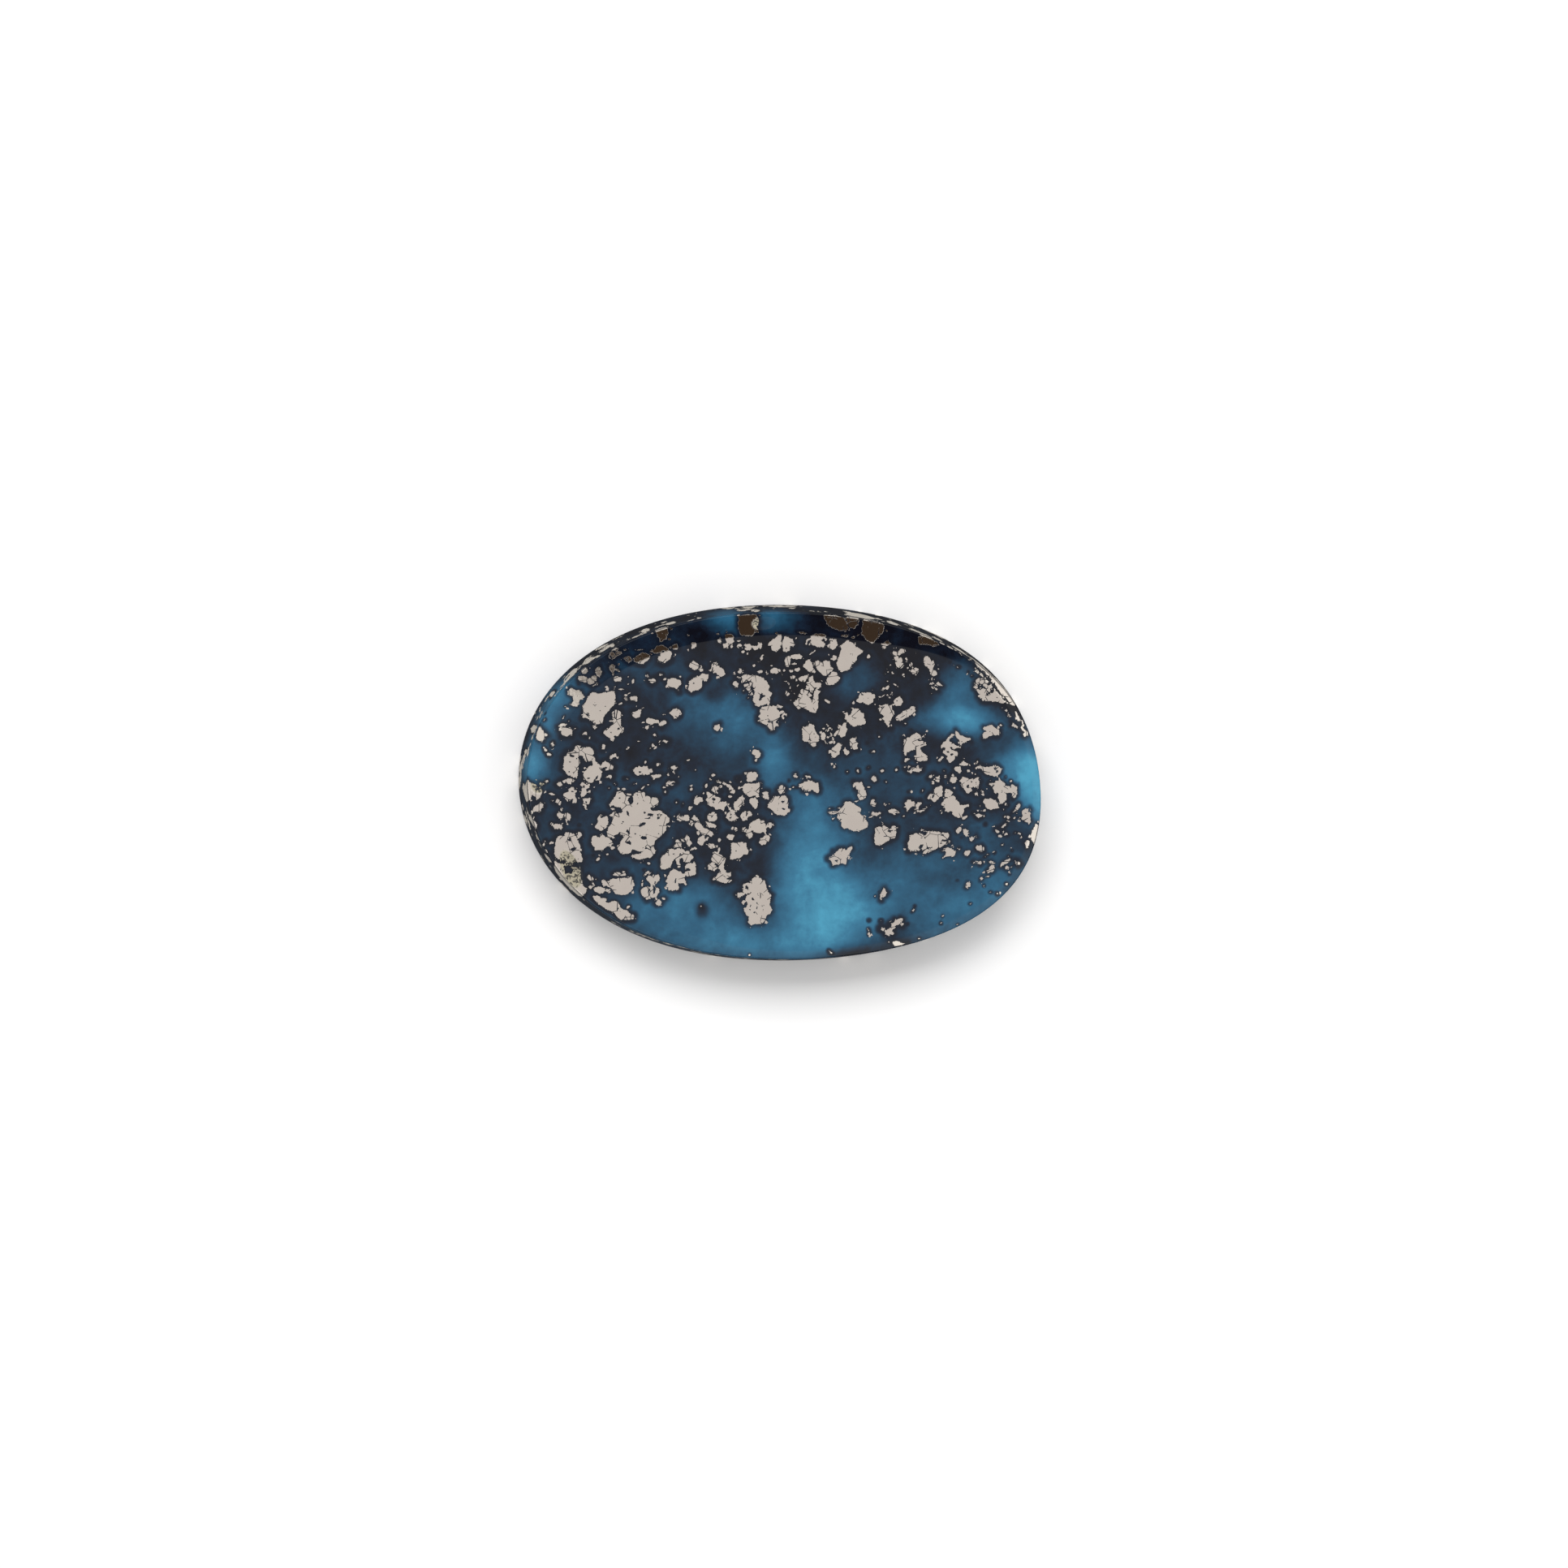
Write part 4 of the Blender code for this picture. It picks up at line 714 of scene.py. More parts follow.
     (5.57, -6.03), (5.63, -5.84)),
    # the bottom of the stone
    ((-8.08, -6.14), (-7.96, -6.06), (-7.71, -5.92), (-7.62, -5.98), (-7.66, -6.27), (-7.51, -6.53),
     (-7.6, -6.66), (-7.69, -6.7), (-7.82, -6.59), (-7.97, -6.43)),
    ((-7.5, -5.94), (-7.38, -5.91), (-7.23, -5.99), (-7.04, -5.99), (-6.97, -6.18), (-7.07, -6.35),
     (-7.17, -6.5), (-7.4, -6.6), (-7.56, -6.34), (-7.54, -6.17)),
    ((-7.3, -6.65), (-7.18, -6.57), (-7.05, -6.6), (-7.18, -6.76)),
    ((-6.89, -6.56), (-6.7, -6.52), (-6.62, -6.6), (-6.7, -6.68)),
    ((-7.2, -6.87), (-6.97, -6.64), (-6.82, -6.76), (-6.8, -6.88), (-6.88, -6.98), (-7.1, -7.0)),
    ((-1.5, -5.1), (-1.45, -5.05), (-1.36, -5.24), (-1.24, -5.28), (-1.14, -5.4), (-1.02, -5.37),
     (-0.98, -5.52), (-0.9, -5.78), (-0.78, -6.11), (-0.63, -6.2), (-0.69, -6.64), (-0.75, -6.77),
     (-0.61, -6.86), (-0.56, -7.13), (-0.64, -7.28), (-0.81, -7.33), (-0.9, -7.48), (-0.94, -7.7),
     (-1.01, -7.82), (-1.22, -7.88), (-1.52, -7.88), (-1.73, -7.94), (-1.88, -7.85), (-1.85, -7.46),
     (-2.0, -7.37), (-2.12, -7.18), (-2.15, -6.99), (-1.98, -6.95), (-1.98, -6.71), (-2.07, -6.47),
     (-1.98, -6.3), (-2.16, -6.1), (-2.31, -6.01), (-2.32, -5.91), (-2.19, -5.86), (-2.25, -5.7),
     (-2.15, -5.57), (-1.94, -5.51), (-1.79, -5.55), (-1.75, -5.26), (-1.6, -5.2)),
    ((-2.66, -6.22), (-2.5, -6.1), (-2.3, -6.11), (-2.16, -6.23), (-2.18, -6.33), (-2.35, -6.31),
     (-2.39, -6.48), (-2.54, -6.39)),
    ((-2.31, -6.64), (-2.19, -6.56), (-2.07, -6.6), (-2.21, -6.83)),
    # the lower right, by the rim
    ((6.2, -7.69), (6.45, -7.58), (6.5, -7.39), (6.58, -7.44), (6.81, -7.29), (6.96, -7.35), (6.96, -7.48),
     (6.82, -7.57), (6.98, -7.64), (6.96, -7.8), (6.85, -7.77), (6.79, -7.63), (6.69, -7.65), (6.54, -7.78),
     (6.25, -7.77)),
    ((5.68, -7.99), (5.74, -7.86), (5.94, -7.91), (6.15, -7.92), (6.28, -7.84), (6.49, -7.83),
     (6.51, -7.91), (6.34, -8.0), (6.5, -8.2), (6.39, -8.3), (6.29, -8.2), (6.16, -8.35), (5.98, -8.24),
     (5.98, -8.1), (5.84, -8.06)),
    ((6.38, -8.67), (6.57, -8.64), (6.91, -8.7), (7.17, -8.75), (7.33, -8.69), (7.3, -8.8), (6.96, -8.89),
     (6.59, -8.94), (6.44, -8.8)),
)

CHIPS = (
    # the upper left
    (-9.78, 6.27, 0.3, 0.1, -25), (-8.6, 7.45, 0.6, 0.08, 5), (-9.35, 7.42, 0.2, 0.1, 0),
    (-10.35, 5.3, 0.2, 0.15, 0), (-9.9, 5.3, 0.25, 0.1, 60), (-9.55, 5.2, 0.32, 0.08, 5),
    (-9.2, 5.2, 0.08, 0.08, 0), (-9.15, 5.9, 0.12, 0.1, 0), (-8.88, 5.65, 0.3, 0.15, 85),
    (-9.15, 5.5, 0.12, 0.08, 0), (-9.1, 4.98, 0.3, 0.08, 25), (-9.3, 4.7, 0.3, 0.12, -65),
    (-9.55, 4.38, 0.25, 0.1, 30), (-9.8, 4.45, 0.1, 0.08, 0), (-12.65, 4.12, 0.12, 0.08, 0),
    (-12.75, 3.5, 0.25, 0.08, 60), (-12.45, 3.3, 0.08, 0.08, 0), (-7.35, 7.98, 0.4, 0.08, 0),
    (-5.85, 8.35, 0.25, 0.1, -20), (-7.12, 5.85, 0.3, 0.15, 0), (-7.3, 6.08, 0.28, 0.12, 0),
    (-8.05, 5.98, 0.25, 0.08, -70), (-4.15, 8.5, 0.25, 0.08, 50), (-3.35, 7.83, 0.2, 0.15, 60),
    (-2.95, 8.15, 0.25, 0.1, 0), (-2.9, 7.9, 0.3, 0.18, 0), (-2.7, 7.55, 0.28, 0.15, 20),
    (-2.45, 7.45, 0.12, 0.1, 0), (-1.55, 7.4, 0.3, 0.06, -30), (-1.65, 7.2, 0.25, 0.15, 60),
    (-1.9, 7.05, 0.1, 0.08, 0), (-1.75, 7.03, 0.1, 0.07, 0), (-2.05, 6.78, 0.15, 0.13, 0),
    (-2.8, 6.98, 0.2, 0.06, -60), (-1.05, 6.8, 0.15, 0.12, 0), (-1.7, 6.45, 0.35, 0.15, 0),
    (-1.3, 6.4, 0.3, 0.12, -60), (-2.6, 5.3, 0.15, 0.08, -50), (-2.32, 4.95, 0.1, 0.08, 0),
    (-8.25, 4.2, 0.12, 0.07, 0),
    # the upper right
    (0.3, 8.42, 0.22, 0.08, 55), (0.62, 8.72, 0.6, 0.12, -8), (1.0, 8.35, 0.3, 0.1, 30),
    (0.9, 8.15, 0.25, 0.1, 80), (1.08, 8.1, 0.15, 0.08, 60), (1.3, 7.67, 0.6, 0.07, 38),
    (-0.15, 7.08, 0.66, 0.34, 86), (0.25, 6.97, 0.4, 0.08, 5), (4.45, 7.5, 0.28, 0.18, 85),
    (3.7, 8.25, 0.15, 0.1, 80), (3.1, 8.62, 0.4, 0.1, 10), (3.55, 8.55, 0.3, 0.1, 20),
    (5.15, 7.83, 0.18, 0.1, 20), (-0.25, 5.97, 0.3, 0.08, -10), (-0.05, 5.8, 0.35, 0.08, -60),
    (0.1, 5.5, 0.4, 0.08, -60), (0.3, 5.25, 0.35, 0.1, -50), (-0.1, 5.25, 0.32, 0.28, 0),
    (0.15, 6.2, 0.3, 0.2, 0), (0.5, 5.72, 0.35, 0.1, 20), (-0.33, 6.55, 0.18, 0.12, 0),
    (0.05, 6.55, 0.28, 0.14, 0), (0.4, 6.62, 0.35, 0.18, 10), (-0.45, 6.32, 0.15, 0.07, -60),
    (-0.5, 4.52, 0.38, 0.16, -20), (2.2, 4.88, 0.4, 0.15, -35), (4.75, 5.65, 0.15, 0.07, 0),
    (5.4, 6.6, 0.2, 0.12, -60), (5.7, 7.0, 0.25, 0.15, 60), (5.58, 6.85, 0.2, 0.15, 0),
    (5.8, 6.65, 0.3, 0.1, -30), (3.65, 4.85, 0.15, 0.12, 80), (5.35, 5.7, 0.28, 0.2, 60),
    (5.6, 5.8, 0.35, 0.16, 60), (5.57, 6.13, 0.18, 0.1, 20), (6.05, 5.98, 0.2, 0.14, 0),
    (6.17, 5.85, 0.15, 0.1, -30), (5.35, 5.3, 0.3, 0.08, 35), (5.65, 5.3, 0.35, 0.08, -45),
    (5.15, 5.22, 0.15, 0.1, 0), (5.8, 5.45, 0.15, 0.1, 0), (6.15, 7.7, 0.25, 0.18, 0),
    (6.6, 7.4, 0.3, 0.15, -60), (6.9, 7.15, 0.28, 0.2, 80), (6.48, 6.5, 0.3, 0.15, 70),
    (6.75, 8.05, 0.12, 0.05, 0), (7.2, 7.82, 0.14, 0.08, 0), (8.47, 6.95, 0.15, 0.08, 70),
    (8.1, 6.33, 0.12, 0.12, 0), (8.27, 6.35, 0.15, 0.08, 80), (8.18, 6.13, 0.12, 0.1, 0),
    (8.08, 5.53, 0.1, 0.07, 0), (6.65, 3.78, 0.15, 0.12, 40), (10.45, 6.6, 0.25, 0.15, 0),
    (10.38, 7.6, 0.15, 0.12, 0), (8.7, 8.45, 0.45, 0.15, -30), (9.15, 8.25, 0.45, 0.15, -35),
    (9.75, 7.85, 0.4, 0.12, -40), (9.5, 8.1, 0.2, 0.1, -30), (12.2, 4.88, 0.15, 0.08, 60),
    (12.45, 4.7, 0.2, 0.12, -50), (12.6, 4.42, 0.3, 0.13, -35), (12.95, 3.85, 0.35, 0.12, -35),
    (13.45, 3.9, 0.25, 0.15, -60), (12.15, 3.85, 0.2, 0.12, -20), (9.62, 7.07, 0.18, 0.1, 0),
    (9.1, 7.33, 0.06, 0.06, 0), (10.2, 6.8, 0.12, 0.08, 80),
    # the left end and the middle left
    (-12.06, 2.88, 0.1, 0.09, 0), (-11.0, 3.0, 0.25, 0.16, -60), (-10.81, 3.06, 0.1, 0.06, 0),
    (-11.46, 2.42, 0.1, 0.06, 0), (-11.25, 2.41, 0.16, 0.12, -60), (-13.34, 1.96, 0.3, 0.13, 75),
    (-13.78, 1.75, 0.13, 0.1, 0), (-13.67, 1.59, 0.28, 0.14, -50), (-13.51, 1.37, 0.25, 0.18, -10),
    (-9.49, 1.79, 0.08, 0.08, 0), (-9.09, 1.84, 0.09, 0.08, 0), (-9.14, 1.74, 0.07, 0.05, 0),
    (-8.47, 2.27, 0.12, 0.08, 0), (-11.46, 0.66, 0.12, 0.16, 0), (-9.17, 0.14, 0.09, 0.08, 0),
    (-9.01, 0.15, 0.06, 0.05, 0), (-11.92, -0.65, 0.16, 0.13, 0), (-11.87, -0.49, 0.1, 0.06, 50),
    (-11.68, -0.65, 0.14, 0.12, 0), (-11.15, -0.63, 0.2, 0.1, 30), (-11.29, -0.7, 0.12, 0.1, 0),
    (-11.1, -0.73, 0.12, 0.09, -60), (-10.7, -0.11, 0.1, 0.08, 0), (-10.06, -0.42, 0.08, 0.07, 0),
    (-9.7, -0.18, 0.12, 0.05, -40), (-13.25, -0.87, 0.42, 0.12, -18), (-13.23, -1.24, 0.15, 0.12, 0),
    (-13.58, -0.15, 0.19, 0.17, 0), (-13.86, 3.73, 0.13, 0.1, 0), (-13.81, 3.3, 0.2, 0.07, 45),
    (-14.37, -1.94, 0.3, 0.2, 60), (-14.22, -2.2, 0.13, 0.1, 0), (-12.69, -1.72, 0.2, 0.12, 75),
    (-8.02, 3.1, 0.25, 0.2, 80), (-7.56, 2.68, 0.23, 0.13, -55), (-7.28, 2.29, 0.15, 0.12, 0),
    (-7.26, 2.14, 0.1, 0.06, 0), (-7.64, 2.06, 0.24, 0.18, 85), (-7.8, 1.86, 0.24, 0.06, 50),
    (-6.11, 3.85, 0.2, 0.09, -75), (-7.05, 3.85, 0.18, 0.1, 25), (-6.85, 4.06, 0.1, 0.08, 0),
    (-8.05, 1.11, 0.2, 0.1, 65), (-6.74, 0.47, 0.1, 0.06, 0), (-5.66, 1.29, 0.13, 0.11, 0),
    (-5.52, 1.33, 0.1, 0.08, 0), (-5.73, 1.18, 0.06, 0.06, 0), (-5.2, 0.76, 0.06, 0.06, 0),
    (-6.13, 0.35, 0.08, 0.07, 0), (-6.92, -0.28, 0.15, 0.12, -40), (-6.86, -0.55, 0.22, 0.13, 85),
    (-7.84, -0.18, 0.12, 0.08, 20), (-8.08, -0.29, 0.16, 0.08, 50), (-8.17, -0.39, 0.2, 0.08, 70),
    (-8.64, -0.14, 0.14, 0.05, 30), (-5.39, -0.33, 0.17, 0.17, 0), (-4.67, -0.55, 0.12, 0.1, 0),
    (-4.55, -0.13, 0.3, 0.15, 75), (-4.16, 0.51, 0.26, 0.14, 15), (-4.31, 0.26, 0.18, 0.1, -45),
    (-7.18, -0.9, 0.1, 0.08, 0), (-6.2, -1.1, 0.14, 0.1, 0),
    # the middle and the right
    (-3.17, -0.69, 0.25, 0.12, 0), (-3.65, -0.36, 0.12, 0.05, -60), (-3.78, -0.17, 0.07, 0.06, 0),
    (-2.34, 0.67, 0.19, 0.11, 60), (-2.67, -0.18, 0.18, 0.14, 60), (0.16, 0.34, 0.1, 0.07, 80),
    (0.41, -0.04, 0.16, 0.1, 45), (0.64, -0.05, 0.12, 0.04, 0), (0.83, 0.07, 0.2, 0.19, 0),
    (1.35, 0.56, 0.2, 0.12, -60), (2.02, 3.33, 0.2, 0.08, 20), (2.24, 3.24, 0.23, 0.17, 35),
    (2.28, 3.53, 0.26, 0.09, -40), (2.47, 3.35, 0.2, 0.08, -55), (2.34, 3.45, 0.15, 0.07, 50),
    (2.45, 3.15, 0.1, 0.09, 0), (2.47, 2.96, 0.12, 0.1, 0), (2.28, 2.85, 0.15, 0.12, 0),
    (2.08, 3.5, 0.06, 0.06, 0), (3.88, 2.9, 0.21, 0.09, 85), (4.55, 2.6, 0.1, 0.05, 30),
    (4.79, 2.12, 0.17, 0.08, -15), (4.95, 2.14, 0.13, 0.12, 0), (2.7, 1.2, 0.23, 0.14, -55),
    (3.45, 0.93, 0.08, 0.07, 0), (4.07, 0.99, 0.19, 0.1, -60), (4.67, 1.2, 0.14, 0.08, 55),
    (5.46, 1.05, 0.23, 0.18, 20), (6.26, 1.12, 0.16, 0.13, 60), (4.71, 0.11, 0.2, 0.08, -15),
    (5.68, 0.43, 0.14, 0.07, -40), (4.04, -0.74, 0.17, 0.12, 0), (7.03, -0.08, 0.14, 0.06, 20),
    (7.8, -0.01, 0.16, 0.06, 50), (5.22, 2.99, 0.14, 0.12, 0), (5.14, 3.16, 0.06, 0.05, 0),
    (7.03, 3.41, 0.07, 0.05, 0), (4.91, 4.76, 0.1, 0.06, 80), (5.93, 4.8, 0.13, 0.08, -60),
    (6.97, 1.34, 0.15, 0.12, 60), (13.43, 4.07, 0.32, 0.14, -60), (8.71, 1.75, 0.22, 0.18, 40),
    (8.85, 1.9, 0.2, 0.15, 30), (10.42, 1.55, 0.3, 0.1, -50), (10.86, 1.67, 0.28, 0.08, 80),
    (10.8, 1.35, 0.15, 0.1, 20), (10.39, 1.2, 0.17, 0.15, 0), (10.15, 1.02, 0.1, 0.08, -50),
    (10.78, 1.0, 0.15, 0.1, 40), (8.77, 0.85, 0.14, 0.06, -40), (9.03, 0.83, 0.17, 0.12, 40),
    (9.19, 0.84, 0.1, 0.08, 0), (8.99, 1.14, 0.08, 0.07, 0), (11.21, 0.05, 0.27, 0.1, -45),
    (12.1, 0.88, 0.5, 0.07, -55), (12.85, 0.68, 0.19, 0.17, 0), (12.52, 0.9, 0.14, 0.07, 80),
    (11.66, 0.69, 0.14, 0.06, 10), (12.58, -0.66, 0.2, 0.1, 80), (12.71, -0.71, 0.13, 0.08, 80),
    (11.12, -0.79, 0.15, 0.07, -35), (8.26, -0.85, 0.11, 0.1, 0), (8.34, 0.41, 0.07, 0.05, 0),
    # the lower left and the lower middle
    (-12.41, -2.36, 0.3, 0.1, -65), (-13.2, -2.54, 0.21, 0.18, 60), (-12.62, -2.52, 0.12, 0.09, 60),
    (-11.67, -2.55, 0.08, 0.07, 0), (-13.22, -3.65, 0.23, 0.12, 45), (-13.65, -3.81, 0.35, 0.15, 40),
    (-13.53, -3.61, 0.2, 0.08, 70), (-13.47, -4.17, 0.36, 0.14, -30), (-9.73, -3.81, 0.27, 0.17, 15),
    (-10.0, -4.18, 0.15, 0.1, 30), (-10.8, -4.27, 0.07, 0.06, 0), (-10.52, -4.46, 0.32, 0.14, 50),
    (-9.6, -3.37, 0.1, 0.09, 0), (-9.65, -1.56, 0.16, 0.11, 30), (-9.89, -6.28, 0.36, 0.2, -25),
    (-10.57, -5.65, 0.16, 0.14, 0), (-10.8, -5.87, 0.34, 0.11, -22), (-10.89, -6.1, 0.29, 0.17, -35),
    (-8.73, -7.14, 0.22, 0.14, 45), (-14.35, -3.3, 0.4, 0.2, -60), (-7.95, -4.5, 0.14, 0.07, -40),
    (-7.66, -4.63, 0.16, 0.13, 0), (-5.83, -1.23, 0.17, 0.06, 80), (-5.43, -1.44, 0.28, 0.14, 80),
    (-2.77, -2.54, 0.27, 0.17, -50), (-3.0, -2.19, 0.1, 0.08, 0), (-3.9, -2.6, 0.11, 0.08, 0),
    (-3.89, -2.77, 0.13, 0.06, 10), (-4.4, -3.12, 0.2, 0.14, 70), (-3.82, -3.55, 0.2, 0.08, 80),
    (-3.69, -3.17, 0.22, 0.17, -60), (-3.7, -3.74, 0.28, 0.13, 80), (-5.8, -3.22, 0.28, 0.1, -70),
    (-5.22, -3.73, 0.2, 0.15, 0), (-5.04, -3.67, 0.15, 0.15, 0), (-4.56, -3.98, 0.12, 0.05, 50),
    (-6.72, -5.25, 0.11, 0.1, 0), (-7.81, -5.27, 0.22, 0.16, 40), (-7.87, -5.02, 0.14, 0.05, 0),
    (-7.97, -5.78, 0.35, 0.13, 80), (2.51, -1.2, 0.1, 0.08, 0), (2.7, -1.2, 0.08, 0.07, 0),
    (2.88, -1.4, 0.22, 0.17, 80), (2.74, -1.77, 0.18, 0.1, 75), (3.03, -1.14, 0.1, 0.05, 30),
    # the right half and the bottom
    (5.67, -0.87, 0.25, 0.1, -50), (5.91, -0.82, 0.11, 0.09, 0), (4.9, -1.6, 0.16, 0.1, 25),
    (6.76, -1.49, 0.12, 0.1, 0), (6.79, -0.99, 0.14, 0.08, 60), (8.9, -1.06, 0.2, 0.1, 80),
    (8.95, -1.25, 0.16, 0.08, 60), (10.25, -1.48, 0.36, 0.14, 40), (11.38, -1.04, 0.17, 0.12, 20),
    (11.37, -1.34, 0.12, 0.08, 60), (11.46, -1.81, 0.12, 0.07, 70), (13.24, -1.13, 0.13, 0.08, -50),
    (12.49, -0.94, 0.12, 0.08, 10), (13.42, -1.34, 0.1, 0.07, 0), (13.14, -1.42, 0.18, 0.08, 25),
    (12.97, -1.47, 0.08, 0.07, 0), (12.58, -1.36, 0.14, 0.12, 0), (12.24, -2.43, 0.1, 0.07, 0),
    (13.2, -2.26, 0.12, 0.07, 0), (13.46, -2.3, 0.32, 0.1, -20), (13.57, -2.48, 0.13, 0.06, 0),
    (10.11, -2.61, 0.1, 0.09, 0), (12.49, -2.97, 0.16, 0.12, 70), (9.64, -3.12, 0.26, 0.1, -55),
    (7.8, -2.23, 0.18, 0.07, 75), (7.93, -2.27, 0.14, 0.07, -40), (9.14, -3.77, 0.2, 0.1, 45),
    (5.59, -1.97, 0.1, 0.09, 0), (6.47, -2.13, 0.1, 0.07, 60), (5.3, -6.1, 0.1, 0.1, 0),
    (5.52, -5.87, 0.08, 0.07, 0), (12.07, -3.42, 0.16, 0.08, 45), (11.66, -3.55, 0.15, 0.08, -20),
    (11.52, -3.67, 0.12, 0.1, 0), (12.85, -3.59, 0.1, 0.1, 0), (13.07, -4.19, 0.13, 0.06, 50),
    (12.98, -4.63, 0.08, 0.06, 0), (11.73, -4.79, 0.2, 0.1, 15), (11.53, -5.3, 0.14, 0.08, 80),
    (9.98, -5.05, 0.08, 0.07, 0), (11.91, -5.67, 0.08, 0.07, 0), (12.34, -5.77, 0.13, 0.12, 0),
    (12.85, -5.21, 0.18, 0.16, 0), (13.06, -3.27, 0.08, 0.06, 0), (-4.59, -6.98, 0.1, 0.09, 0),
    (-1.71, -9.7, 0.12, 0.14, 0), (2.9, -9.38, 0.32, 0.1, -35), (10.79, -6.38, 0.1, 0.08, 0),
    (5.02, -8.27, 0.24, 0.14, 90), (4.98, -8.02, 0.12, 0.1, 0), (5.71, -7.51, 0.1, 0.1, 0),
    (4.99, -7.5, 0.08, 0.06, 0), (7.52, -6.85, 0.2, 0.11, 50), (7.59, -6.61, 0.07, 0.07, 0),
    (9.24, -7.13, 0.15, 0.08, 40), (9.16, -7.54, 0.1, 0.1, 0), (7.95, -8.48, 0.12, 0.11, 0),
    (7.21, -7.63, 0.1, 0.06, 0), (6.2, -8.71, 0.08, 0.07, 0), (10.13, -7.6, 0.1, 0.09, 0),
)

